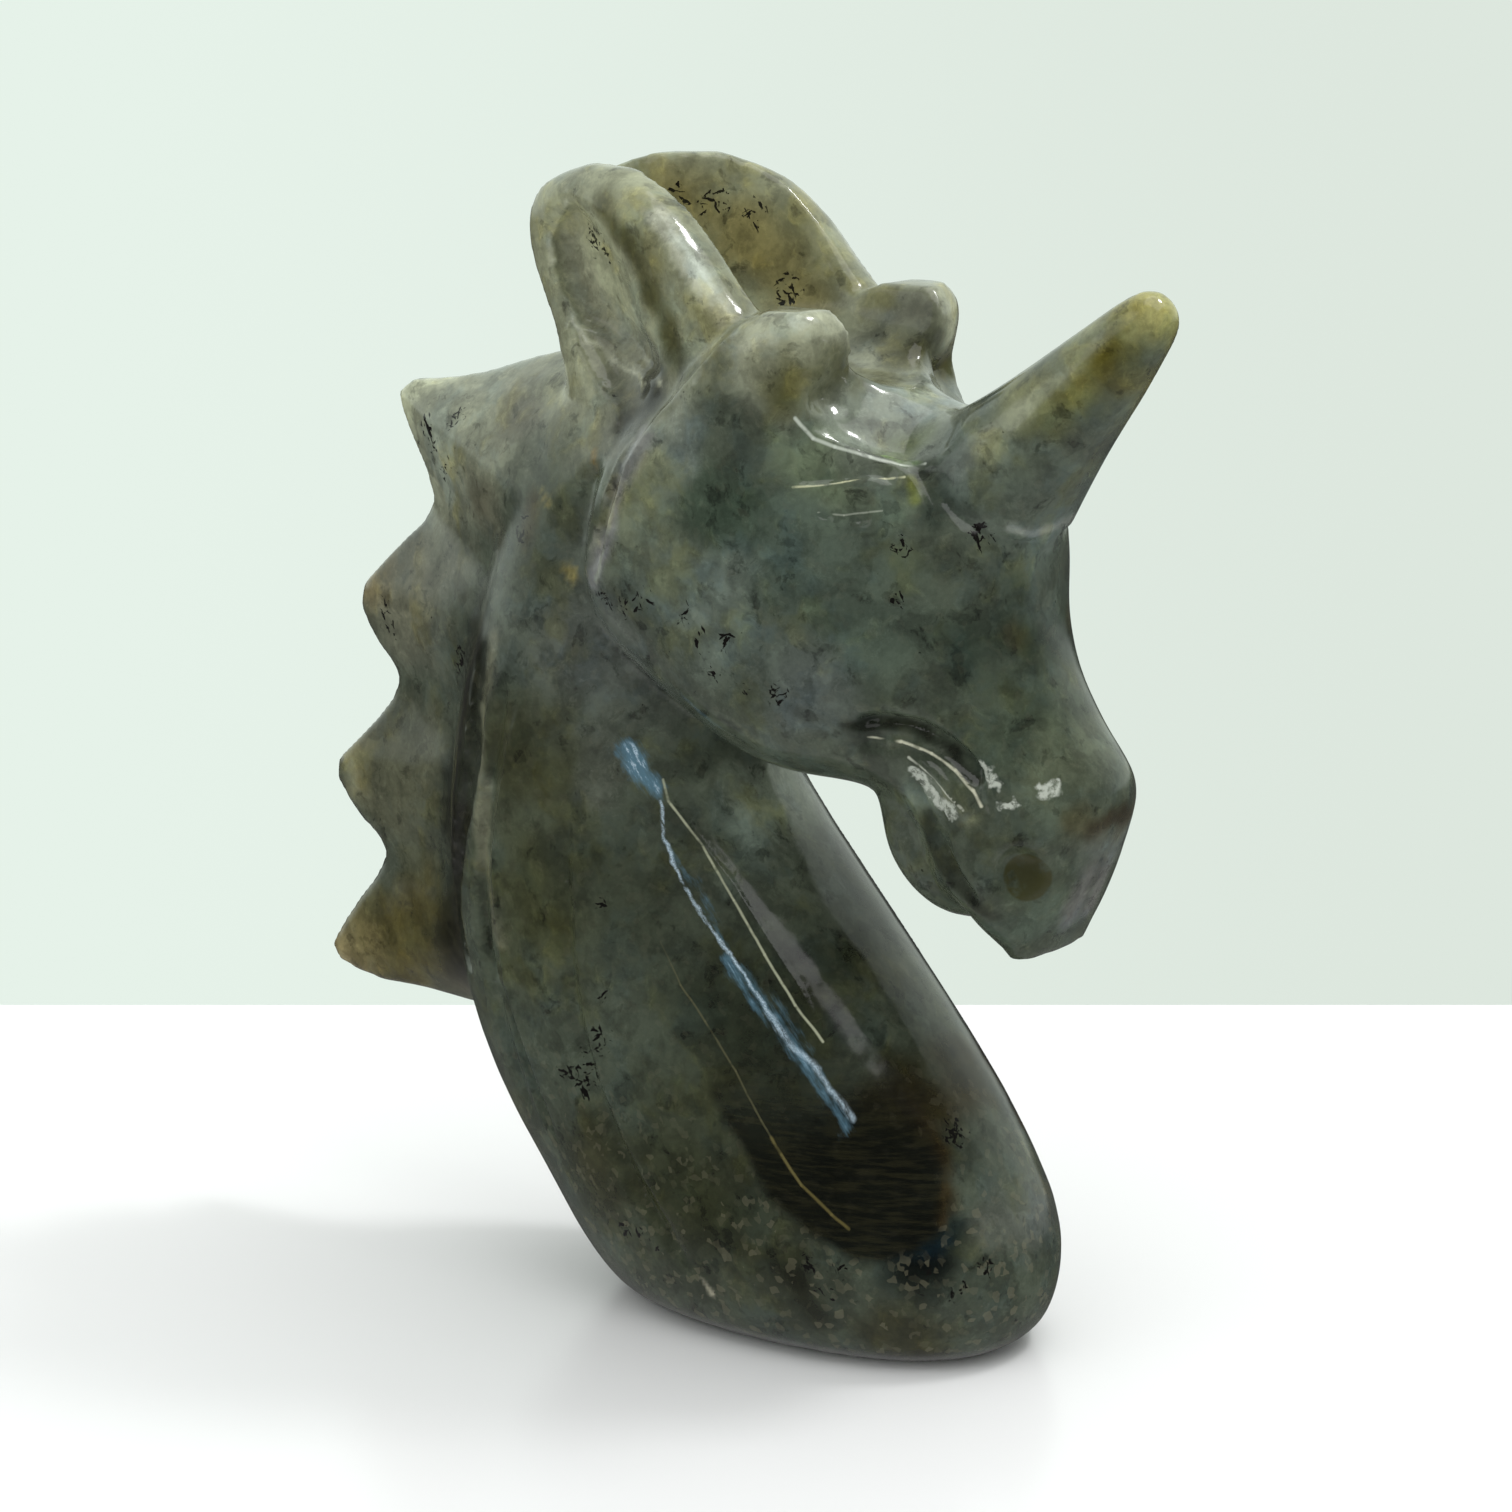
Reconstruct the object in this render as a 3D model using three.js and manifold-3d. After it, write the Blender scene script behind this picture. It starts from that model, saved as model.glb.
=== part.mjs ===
// A unicorn's head and neck, carved from one block of stone and polished, standing on a flat oval foot.
// Millimetres, +Z up, the nose toward +X, the left side toward +Y, the origin under the middle of the foot.
// The forms are lofted, joined into one stone, and then the hollows and grooves are ground out of it.

import * as THREE from 'three';
import { mergeVertices } from 'three/addons/utils/BufferGeometryUtils.js';
import Module from 'manifold-3d';

// Overall size, from the tip of the lowest mane spike to the horn's tip, and from the foot to the ears' tips
const LENGTH = 80.4;
const HEIGHT = 90.3;

// Driving dimensions of the neck
const FOOT_LENGTH = 33;
const FOOT_WIDTH = 18;
const NECK_HALF_WIDTH = 13.2;

// Driving dimensions of the head
const CHEEK_HALF_WIDTH = 13;
const BRIDGE_HALF_WIDTH = 8.4;
const MUZZLE_HALF_WIDTH = 8.6;
const CHIN_HALF_WIDTH = 7.2;

// Driving dimensions of the horn
const HORN_ROOT_HALF_WIDTH = 5.6;
const HORN_TIP_HALF_WIDTH = 2.2;

// Driving dimensions of the ears
const EAR_HALF_THICKNESS = 2.7;
const EAR_SPREAD = 8.6;
const EAR_BACK_SPREAD = 3;
const EAR_DISH_LENGTH = 19;
const EAR_DISH_WIDTH = 10.5;
const EAR_DISH_DEPTH = 1.6;

// Driving dimensions of the brow knobs
const KNOB_SPREAD = 8.7;
const KNOB_HALF_WIDTH = 3.3;
const SCOOP_LENGTH = 11;
const SCOOP_WIDTH = 11;
const SCOOP_THICKNESS = 6;

// Driving dimensions of the mane
const MANE_TOP_HALF_WIDTH = 10.5;
const MANE_ROOT_HALF_WIDTH = 6.5;
const MANE_EDGE_HALF_WIDTH = 0.9;

// Driving dimensions of what is ground out of the stone
const CHANNEL_HALF_WIDTH = 6.4;
const NOSTRIL_RADIUS = 2.1;
const NOSTRIL_DEPTH = 1.5;
const GROOVE_RADIUS = 1.1;
const GROOVE_DEPTH = 0.8;
const LID_RADIUS = 0.6;
const LID_DEPTH = 0.35;

// How finely the forms are cut into facets
const BODY_SEGMENTS = 32;
const BLOCK_SEGMENTS = 24;
const DETAIL_SEGMENTS = 16;
const GROOVE_SEGMENTS = 6;

// Places in the profile are percent of LENGTH forward of the foot's middle, and percent of HEIGHT up

// The floor of the channel between the ears, and its width as a share of the widest
const CHANNEL_FLOOR = [
  [-37.3, 84.7, 0.16],
  [-28.6, 85.3, 0.25],
  [-21.1, 85, 0.5],
  [-13.7, 84.6, 0.8],
  [-6.2, 83.9, 0.97],
  [1.2, 83.3, 1],
  [8.7, 82.6, 1],
  [17.4, 84.2, 1],
];

// The lines that the grinding wheel draws on each side
const MANE_LINE = [[-32.6, 58.7], [-33.1, 48.7], [-36.1, 39.9], [-38.1, 33.2], [-36.1, 26.6]];
const REAR_STRAND = [[-27.9, 56.5], [-29.4, 46.5], [-31.3, 36.5], [-29.4, 24.4], [-25.5, 15.5]];
const FRONT_STRAND = [[-20.6, 53.7], [-19.9, 39.9], [-18.2, 26.6], [-13.1, 16.1], [-3.7, 5.5]];
const LIP_LINE = [[10, 53.8], [15.4, 55.4], [21.6, 53.6], [26.1, 49.2]];
const CHIN_LINE = [[15.9, 53.6], [19.2, 50.9], [21.1, 45.8], [24.6, 41.4]];
const UPPER_LID = [[4.5, 76], [9.2, 76.6], [13.7, 76.7], [15.7, 74.9]];
const LOWER_LID = [[6.7, 74.2], [10.2, 73.8], [13.4, 73.6]];

const wasm = await Module();
wasm.setup();

/** A place in the profile, in percent of the length and the height, and how far it lies to the left. */
function place(x, z, y = 0) {
  return new THREE.Vector3((x * LENGTH) / 100, y, (z * HEIGHT) / 100);
}

/** A smooth curve through places. */
function smoothCurve(places) {
  return new THREE.CatmullRomCurve3(places, false, 'centripetal');
}

/** A closed three.js geometry as a solid that can be joined and cut. */
function solidFrom(geometry) {
  const bare = geometry.clone();
  bare.deleteAttribute('normal');
  bare.deleteAttribute('uv');
  const merged = mergeVertices(bare, 1e-4);
  return new wasm.Manifold(new wasm.Mesh({
    numProp: 3,
    vertProperties: new Float32Array(merged.attributes.position.array),
    triVerts: new Uint32Array(merged.index.array),
  }));
}

/** The solid's surface as a three.js geometry. */
function geometryFrom(solid) {
  const mesh = solid.getMesh();
  const geometry = new THREE.BufferGeometry();
  geometry.setAttribute('position', new THREE.BufferAttribute(new Float32Array(mesh.vertProperties), 3));
  geometry.setIndex(new THREE.BufferAttribute(new Uint32Array(mesh.triVerts), 1));
  geometry.computeVertexNormals();
  return geometry;
}

/** The same geometry on the carving's other side, with its faces still pointing out. */
function mirrored(geometry) {
  const twin = geometry.clone();
  twin.scale(1, -1, 1);
  const index = twin.index.array;
  for (let i = 0; i < index.length; i += 3) {
    const first = index[i];
    index[i] = index[i + 1];
    index[i + 1] = first;
  }
  return twin;
}

/** Joins rings of points, all with the same count, into one closed skin with a fan over each end. */
function skin(rings) {
  const around = rings[0].length;
  const positions = [];
  const faces = [];
  for (const ring of rings) {
    for (const point of ring) positions.push(point.x, point.y, point.z);
  }
  for (const ring of [rings[0], rings.at(-1)]) {
    const sum = ring.reduce((total, point) => total.add(point), new THREE.Vector3());
    const centre = sum.divideScalar(around);
    positions.push(centre.x, centre.y, centre.z);
  }
  const startCentre = rings.length * around;
  const endCentre = startCentre + 1;
  const lastRing = (rings.length - 1) * around;
  for (let j = 0; j < around; j += 1) {
    const k = (j + 1) % around;
    faces.push(startCentre, k, j);
    faces.push(endCentre, lastRing + j, lastRing + k);
    for (let i = 0; i + 1 < rings.length; i += 1) {
      const low = i * around;
      const high = low + around;
      faces.push(low + j, low + k, high + k);
      faces.push(low + j, high + k, high + j);
    }
  }
  const geometry = new THREE.BufferGeometry();
  geometry.setAttribute('position', new THREE.Float32BufferAttribute(positions, 3));
  geometry.setIndex(faces);
  return geometry;
}

/** Turns the faces of a closed geometry outward, whichever way its rings ran. */
function facingOut(geometry) {
  const index = geometry.index.array;
  const position = geometry.attributes.position;
  const a = new THREE.Vector3();
  const b = new THREE.Vector3();
  const c = new THREE.Vector3();
  let volume = 0;
  for (let i = 0; i < index.length; i += 3) {
    a.fromBufferAttribute(position, index[i]);
    b.fromBufferAttribute(position, index[i + 1]);
    c.fromBufferAttribute(position, index[i + 2]);
    volume += a.dot(b.cross(c));
  }
  if (volume < 0) {
    for (let i = 0; i < index.length; i += 3) {
      const first = index[i];
      index[i] = index[i + 1];
      index[i + 1] = first;
    }
  }
  return geometry;
}

/**
 * A loft along two rails. Each station has a front and a back point, the half width across them,
 * how much wider the back is than the front, and how square the section is (2 is an ellipse).
 */
function railLoft(stations, steps, around) {
  const last = stations.length - 1;
  const valueAt = (pick, t) => {
    const i = Math.min(Math.floor(t * last), last - 1);
    return smoothAt(stations.map(pick), i, t * last - i);
  };
  const front = smoothCurve(stations.map((s) => s.front));
  const back = smoothCurve(stations.map((s) => s.back));
  const rings = [];
  for (let i = 0; i <= steps; i += 1) {
    const t = i / steps;
    const f = front.getPoint(t);
    const b = back.getPoint(t);
    const reach = f.clone().sub(b).multiplyScalar(0.5);
    const centre = f.clone().add(b).multiplyScalar(0.5);
    const along = reach.clone().normalize();
    const across = new THREE.Vector3(0, 1, 0).addScaledVector(along, -along.y).normalize();
    const half = valueAt((s) => s.half, t);
    const taper = valueAt((s) => s.taper ?? 0, t);
    const power = 2 / valueAt((s) => s.square ?? 2.2, t);
    const ring = [];
    for (let j = 0; j < around; j += 1) {
      const angle = (2 * Math.PI * j) / around;
      const u = Math.sign(Math.cos(angle)) * Math.abs(Math.cos(angle)) ** power;
      const v = Math.sign(Math.sin(angle)) * Math.abs(Math.sin(angle)) ** power;
      const sideways = v * half * (1 - taper * u);
      ring.push(centre.clone().addScaledVector(reach, u).addScaledVector(across, sideways));
    }
    rings.push(ring);
  }
  return facingOut(skin(rings));
}

/** Catmull-Rom value between entries i and i + 1 of a list of numbers. */
function smoothAt(values, i, t) {
  const last = values.length - 1;
  const p = [values[Math.max(i - 1, 0)], values[i], values[i + 1], values[Math.min(i + 2, last)]];
  const a = 2 * p[1];
  const b = p[2] - p[0];
  const c = 2 * p[0] - 5 * p[1] + 4 * p[2] - p[3];
  const d = -p[0] + 3 * p[1] - 3 * p[2] + p[3];
  return 0.5 * (a + b * t + c * t * t + d * t * t * t);
}

/** The neck, from the flat oval foot up to the poll. */
function neck() {
  const w = NECK_HALF_WIDTH;
  const toe = (share, z) => place(0, z).setX((share * FOOT_LENGTH) / 2);
  const side = FOOT_WIDTH / 2;
  const stations = [
    { front: toe(1, 0), back: toe(-1, 0), half: side },
    { front: toe(1.145, 1.8), back: toe(-1.12, 1.3), half: (side + w) / 2 },
    { front: toe(1.23, 5.5), back: toe(-1.3, 4.7), half: w * 0.93 },
    { front: toe(1.22, 11.1), back: toe(-1.5, 10), half: w * 0.99 },
    { front: place(19.7, 19.9), back: place(-36.6, 17.3), half: w },
    { front: place(11.2, 29.3), back: place(-40.5, 25.5), half: w * 0.99 },
    { front: place(2.2, 38.2), back: place(-42, 34.3), half: w * 0.96 },
    { front: place(-6.2, 47.1), back: place(-41.8, 44.3), half: w * 0.92 },
    { front: place(-10, 57.6), back: place(-39.3, 55.4), half: w * 0.86 },
    { front: place(-7.5, 68.7), back: place(-35.4, 67.6), half: w * 0.76 },
    { front: place(-3.7, 78.6), back: place(-31.7, 77.5), half: w * 0.66 },
    { front: place(-5, 84.7), back: place(-24.9, 83.6), half: w * 0.5 },
  ];
  return railLoft(stations, 24, BODY_SEGMENTS);
}

/** The head, from the round jowl forward to the lips; forehead and nose in front, the jaw behind. */
function head() {
  const c = CHEEK_HALF_WIDTH;
  const n = BRIDGE_HALF_WIDTH;
  const m = MUZZLE_HALF_WIDTH;
  const stations = [
    { front: place(-19.4, 72), back: place(-20.6, 63.7), half: c * 0.55, square: 2.4 },
    { front: place(-16.9, 78.1), back: place(-18.4, 59.4), half: c * 0.9, square: 2.7 },
    { front: place(-10.2, 84.6), back: place(-12.7, 55.1), half: c * 0.98, square: 2.9 },
    { front: place(-2.5, 88.2), back: place(-6, 52), half: c, taper: 0.04, square: 3.3 },
    { front: place(5.7, 88.6), back: place(-1, 50.5), half: c * 0.99, taper: 0.08, square: 3.5 },
    { front: place(9.2, 83.3), back: place(3.2, 49.8), half: c * 0.95, taper: 0.15, square: 3.1 },
    { front: place(14.2, 81.7), back: place(6.5, 49.6), half: c * 0.9, taper: 0.2, square: 2.8 },
    { front: place(19.9, 79.7), back: place(9.5, 49.2), half: c * 0.82, taper: 0.24, square: 2.6 },
    { front: place(24.1, 74.2), back: place(11.8, 48.5), half: (c + n) * 0.45, taper: 0.26, square: 2.5 },
    { front: place(24.6, 67.6), back: place(13.7, 47.2), half: n * 1.02, taper: 0.26, square: 2.4 },
    { front: place(25.9, 61.5), back: place(15.4, 45.6), half: n, taper: 0.22, square: 2.4 },
    { front: place(29.1, 56.3), back: place(16.4, 43.9), half: m, taper: 0.22, square: 2.4 },
    { front: place(33.2, 51.6), back: place(17.2, 42.1), half: m, taper: 0.28, square: 2.3 },
    { front: place(31.8, 46.5), back: place(19.9, 40.8), half: m * 0.94, taper: 0.28, square: 2.3 },
    { front: place(29.6, 41.4), back: place(21.9, 38.8), half: m * 0.78, taper: 0.22, square: 2.4 },
    { front: place(27.2, 36.9), back: place(23.9, 36.5), half: m * 0.52, taper: 0.1, square: 2.4 },
  ];
  return railLoft(stations, 38, BODY_SEGMENTS);
}

/** The chin, a crescent under the mouth. */
function chin() {
  const w = CHIN_HALF_WIDTH;
  const stations = [
    { front: place(13.7, 54.8), back: place(7.5, 52.7), half: w * 0.9 },
    { front: place(16.9, 50.9), back: place(9.7, 48.3), half: w },
    { front: place(19.4, 47.2), back: place(10.4, 44.3), half: w },
    { front: place(20.9, 45.2), back: place(13.4, 40.8), half: w * 0.96 },
    { front: place(22.9, 43.9), back: place(17.2, 39), half: w * 0.86 },
    { front: place(24.9, 42.7), back: place(21.4, 39), half: w * 0.6 },
  ];
  return railLoft(stations, 14, DETAIL_SEGMENTS);
}

/** The horn, a blunt cone with soft edges that leans forward from the forehead. */
function horn() {
  const root = HORN_ROOT_HALF_WIDTH;
  const tip = HORN_TIP_HALF_WIDTH;
  const stations = [
    { front: place(13.7, 80.8), back: place(23.6, 68.4), half: root * 1.2, square: 2.2 },
    { front: place(18.4, 83.1), back: place(26.4, 73.1), half: root, square: 2.4 },
    { front: place(24.3, 86.6), back: place(29.9, 78.6), half: root * 0.82, square: 2.5 },
    { front: place(30.3, 90.5), back: place(33.8, 83.6), half: (root + tip) * 0.42, square: 2.5 },
    { front: place(34.1, 92.8), back: place(37.1, 88.2), half: tip, square: 2.4 },
    { front: place(35.8, 93), back: place(38.1, 89.7), half: tip * 0.72, square: 2.2 },
    { front: place(37.1, 92.4), back: place(38.1, 90.8), half: tip * 0.36, square: 2.2 },
  ];
  return railLoft(stations, 12, DETAIL_SEGMENTS);
}

/** The left ear, a swept-back leaf whose front edge stands out and whose rear edge draws in. */
function ear() {
  const t = EAR_HALF_THICKNESS;
  const out = EAR_SPREAD;
  const back = EAR_BACK_SPREAD;
  const shoulder = place(-28.4, 98.1, back * 1.07);
  const tip = place(-23.6, 99.8, back * 1.33);
  const stations = [
    { front: place(1.2, 78.6, out * 0.95), back: place(-23.6, 76.4, back * 1.67), half: t * 1.3, square: 3 },
    { front: place(-0.2, 87.3, out), back: place(-26.9, 85.3, back * 1.27), half: t * 1.05, square: 3.6 },
    { front: place(-4, 91.5, out), back: place(-30.1, 91, back), half: t, square: 4 },
    { front: place(-7.5, 95, out * 0.98), back: place(-30.6, 95, back), half: t * 0.95, square: 4 },
    { front: place(-11.9, 98.2, out * 0.88), back: shoulder, half: t * 0.85, square: 3.6 },
    { front: place(-17.2, 100, out * 0.7), back: tip, half: t * 0.5, square: 2.6 },
  ];
  return railLoft(stations, 16, DETAIL_SEGMENTS);
}

/** The brow block across the head in front of the ears, whose two ends stay as knobs beside the channel. */
function browBlock() {
  const w = KNOB_SPREAD + KNOB_HALF_WIDTH;
  const stations = [
    { front: place(2.5, 66.4), back: place(-12.4, 66.4), half: w, square: 2.8 },
    { front: place(5.7, 74.2), back: place(-13.2, 74.2), half: w * 1.05, square: 2.8 },
    { front: place(7.2, 79.7), back: place(-11.9, 79.1), half: w * 1.05, square: 3 },
    { front: place(7.5, 83.7), back: place(-9.5, 83.3), half: w * 1.02, square: 3.6 },
    { front: place(8, 86.8), back: place(-5.5, 86.4), half: w, square: 4 },
    { front: place(7.8, 88.7), back: place(-2.2, 88.6), half: w * 0.95, square: 4 },
    { front: place(6.5, 90), back: place(0.2, 89.9), half: w * 0.85, square: 3.6 },
  ];
  return railLoft(stations, 12, BLOCK_SEGMENTS);
}

/** The channel ground between the ears and the brow knobs, a round-bottomed cut open at the top. */
function channel(top) {
  const arc = 8;
  const flare = 1.25;
  const rings = CHANNEL_FLOOR.map(([x, z, share]) => {
    const half = CHANNEL_HALF_WIDTH * share;
    const floor = place(x, z);
    const ring = [];
    for (let j = 0; j <= arc; j += 1) {
      const angle = Math.PI + (Math.PI * j) / arc;
      const offset = new THREE.Vector3(0, half * Math.cos(angle), half * (1 + Math.sin(angle)));
      ring.push(floor.clone().add(offset));
    }
    ring.push(floor.clone().setY(half * flare).setZ(top));
    ring.push(floor.clone().setY(-half * flare).setZ(top));
    return ring;
  });
  return facingOut(skin(rings));
}

/** The mane, a comb of four spikes whose faces are ground hollow from a thick root to a thin edge. */
function mane() {
  const edge = smoothCurve([
    [-22.4, 84.2], [-32.3, 82.4], [-42.7, 79.4], [-51.5, 77.7],
    [-50, 73.8], [-47.1, 67.6], [-52, 63.1], [-57.2, 58],
    [-55, 54], [-52, 50.9], [-55.5, 46.3], [-60.9, 41.4],
    [-58, 37.4], [-54.2, 34.3], [-58, 29.2], [-61.9, 23.7],
    [-56.7, 21.9], [-49.8, 21.9], [-41, 21.5],
  ].map(([x, z]) => place(x, z)));
  const root = smoothCurve([
    [-14.9, 77.5], [-24.9, 69.8], [-29.9, 60.9], [-34.8, 50.9], [-36.1, 39.9], [-34.8, 31], [-33.6, 24.4],
  ].map(([x, z]) => place(x, z)));
  const steps = 40;
  const across = 5;
  const rings = [];
  for (let i = 0; i <= steps; i += 1) {
    const outer = edge.getPoint(i / steps);
    const inner = root.getPoint(i / steps);
    const low = Math.min(i / (steps * 0.55), 1);
    const rootHalf = MANE_TOP_HALF_WIDTH + (MANE_ROOT_HALF_WIDTH - MANE_TOP_HALF_WIDTH) * low;
    const hollowness = 0.55 + 0.85 * low;
    const side = [];
    for (let j = 0; j <= across; j += 1) {
      const t = j / across;
      const half = MANE_EDGE_HALF_WIDTH + (rootHalf - MANE_EDGE_HALF_WIDTH) * (1 - t) ** hollowness;
      side.push(inner.clone().lerp(outer, t * 0.985).setY(half));
    }
    const otherSide = side.map((point) => point.clone().setY(-point.y)).reverse();
    rings.push([...side, outer.clone(), ...otherSide]);
  }
  return facingOut(skin(rings));
}

/** The points of the left side over places in the profile, leaving out places that miss the stone. */
function surfaceAt(stone, places) {
  const beyond = 4 * NECK_HALF_WIDTH;
  const ray = new THREE.Raycaster();
  const points = [];
  for (const spot of places) {
    ray.set(spot.clone().setY(beyond), new THREE.Vector3(0, -1, 0));
    const [hit] = ray.intersectObject(stone);
    if (hit) points.push(hit.point);
  }
  return points;
}

/** A round wheel's path over the left side along a line in the profile, as a tube that cuts to the depth. */
function groove(stone, places, radius, depth) {
  const path = smoothCurve(places.map(([x, z]) => place(x, z)));
  const steps = places.length * 3;
  const line = smoothCurve(surfaceAt(stone, path.getPoints(steps)));
  const rings = [];
  const outward = new THREE.Vector3(0, 1, 0);
  for (let i = 0; i <= steps; i += 1) {
    const t = i / steps;
    const fade = 1.1 * Math.sqrt(Math.sin(Math.PI * t)) - 0.1;
    const tangent = line.getTangent(t);
    const out = outward.clone().addScaledVector(tangent, -outward.dot(tangent)).normalize();
    const side = tangent.clone().cross(out);
    const centre = line.getPoint(t).addScaledVector(out, radius - depth * fade);
    const ring = [];
    for (let j = 0; j < GROOVE_SEGMENTS; j += 1) {
      const angle = (2 * Math.PI * j) / GROOVE_SEGMENTS;
      const outPart = out.clone().multiplyScalar(radius * Math.cos(angle));
      ring.push(centre.clone().add(outPart).addScaledVector(side, radius * Math.sin(angle)));
    }
    rings.push(ring);
  }
  return facingOut(skin(rings));
}

/** The long dish in the left ear's outer face, deepest at its crisp rear rim. */
function earDish(stone) {
  const [middle] = surfaceAt(stone, [place(-18.9, 89.2)]);
  const leanBack = 0.9;
  const tilt = -0.3;
  const toeIn = Math.atan2(EAR_SPREAD - EAR_BACK_SPREAD, EAR_DISH_LENGTH);
  const proud = 0.5 * EAR_DISH_DEPTH;
  const geometry = new THREE.SphereGeometry(0.5, 18, 12);
  geometry.scale(EAR_DISH_LENGTH, 2 * (EAR_DISH_DEPTH + proud), EAR_DISH_WIDTH);
  geometry.rotateX(tilt);
  geometry.rotateY(leanBack);
  geometry.rotateZ(toeIn);
  geometry.translate(middle.x, middle.y + proud, middle.z);
  return geometry;
}

/** The scoop on the forehead's left side, between knob and horn, whose outer rim is the brow's edge. */
function browScoop() {
  const middle = place(12.6, 82.2, 0.78 * KNOB_SPREAD);
  const lean = 0.62;
  const along = -0.8;
  const geometry = new THREE.SphereGeometry(0.5, 20, 12);
  geometry.scale(SCOOP_LENGTH, SCOOP_WIDTH, SCOOP_THICKNESS);
  geometry.rotateX(-lean);
  geometry.rotateZ(along);
  geometry.translate(middle.x, middle.y, middle.z);
  return geometry;
}

/** The left nostril, a shallow round dimple. */
function nostril(stone) {
  const [middle] = surfaceAt(stone, [place(28.1, 45.4)]);
  const geometry = new THREE.SphereGeometry(NOSTRIL_RADIUS, 16, 10);
  geometry.translate(middle.x, middle.y + NOSTRIL_RADIUS - NOSTRIL_DEPTH, middle.z);
  return geometry;
}

/** The left side's hollows and lines, each as the solid that grinds it out. */
function cuts(stone) {
  const wide = 1.5;
  return [
    earDish(stone),
    browScoop(),
    nostril(stone),
    groove(stone, MANE_LINE, GROOVE_RADIUS * wide, GROOVE_DEPTH * wide),
    groove(stone, REAR_STRAND, GROOVE_RADIUS, GROOVE_DEPTH),
    groove(stone, FRONT_STRAND, GROOVE_RADIUS, GROOVE_DEPTH),
    groove(stone, LIP_LINE, GROOVE_RADIUS, GROOVE_DEPTH),
    groove(stone, CHIN_LINE, GROOVE_RADIUS, GROOVE_DEPTH),
    groove(stone, UPPER_LID, LID_RADIUS, LID_DEPTH),
    groove(stone, LOWER_LID, LID_RADIUS, LID_DEPTH),
  ];
}

/** The whole stone: the forms joined, the channel ground through, the horn added and both sides cut. */
function carve() {
  const forms = [neck(), head(), chin(), mane(), ear(), mirrored(ear()), browBlock()];
  const block = forms.map(solidFrom).reduce((whole, form) => whole.add(form));
  const box = new THREE.Box3().setFromObject(new THREE.Mesh(geometryFrom(block)));
  let stone = block.subtract(solidFrom(channel(box.max.z * 1.01))).add(solidFrom(horn()));
  const rough = new THREE.Mesh(geometryFrom(stone), new THREE.MeshStandardMaterial());
  for (const cut of cuts(rough)) {
    stone = stone.subtract(solidFrom(cut)).subtract(solidFrom(mirrored(cut)));
  }
  return geometryFrom(stone);
}

const labradorite = new THREE.MeshStandardMaterial({ color: 0x6b6f62, roughness: 0.18, metalness: 0 });
const carving = new THREE.Mesh(carve(), labradorite);
carving.name = 'unicorn_carving';

const model = new THREE.Group();
model.add(carving);
export default model;
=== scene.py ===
"""A unicorn's head and neck, carved from one piece of polished labradorite, on a pale table.

Places and lengths are written in millimetres and made metres where Blender takes them. The
unicorn faces +X, its foot stands on Z = 0, and the side that the camera sees is its -Y side.
"""

import logging
import math
from dataclasses import dataclass, field
from enum import Enum
from typing import Any, Mapping, Sequence

import bmesh
import bpy
import numpy as np
from mathutils import Matrix, Vector, noise
from mathutils.bvhtree import BVHTree
from mathutils.kdtree import KDTree


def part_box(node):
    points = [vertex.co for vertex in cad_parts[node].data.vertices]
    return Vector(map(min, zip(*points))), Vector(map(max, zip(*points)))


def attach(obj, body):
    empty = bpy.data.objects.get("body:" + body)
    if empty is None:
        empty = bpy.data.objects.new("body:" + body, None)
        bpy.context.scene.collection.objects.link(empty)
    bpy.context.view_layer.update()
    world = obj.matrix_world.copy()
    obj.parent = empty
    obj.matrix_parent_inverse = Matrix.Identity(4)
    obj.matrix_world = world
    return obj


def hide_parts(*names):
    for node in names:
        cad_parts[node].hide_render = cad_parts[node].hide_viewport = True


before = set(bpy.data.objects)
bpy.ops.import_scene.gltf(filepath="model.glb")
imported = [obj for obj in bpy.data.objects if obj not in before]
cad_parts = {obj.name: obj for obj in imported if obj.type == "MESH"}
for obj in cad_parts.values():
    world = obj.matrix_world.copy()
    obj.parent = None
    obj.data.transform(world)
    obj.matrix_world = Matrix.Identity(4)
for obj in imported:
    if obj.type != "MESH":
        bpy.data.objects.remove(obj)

LOG = logging.getLogger("unicorn_carving")
MM = 0.001
CAMERA_AZIMUTH = 35.0
CAMERA_ELEVATION = 14.0
VIEW_CENTRE = (-6.5, 0.0, 44.2)

Triple = tuple[float, float, float]
Path = Sequence[Triple]
Colour = tuple[float, float, float, float]


def shown(red: float, green: float, blue: float) -> Colour:
    """Gives the linear colour of a colour as it is seen on a screen.

    Args:
        red: Red from 0 to 255.
        green: Green from 0 to 255.
        blue: Blue from 0 to 255.

    Returns:
        The linear red, green and blue, and an alpha of 1.
    """
    parts = [c / 255 for c in (red, green, blue)]
    line = [c / 12.92 if c <= 0.04045 else ((c + 0.055) / 1.055) ** 2.4 for c in parts]
    return (line[0], line[1], line[2], 1.0)


def heading(azimuth: float, elevation: float) -> Vector:
    """Gives the unit vector from the carving towards a direction in the room.

    Args:
        azimuth: Degrees round from -Y towards +X.
        elevation: Degrees above the horizon.

    Returns:
        The unit vector.
    """
    a, e = math.radians(azimuth), math.radians(elevation)
    return Vector((math.sin(a) * math.cos(e), -math.cos(a) * math.cos(e), math.sin(e)))


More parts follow.
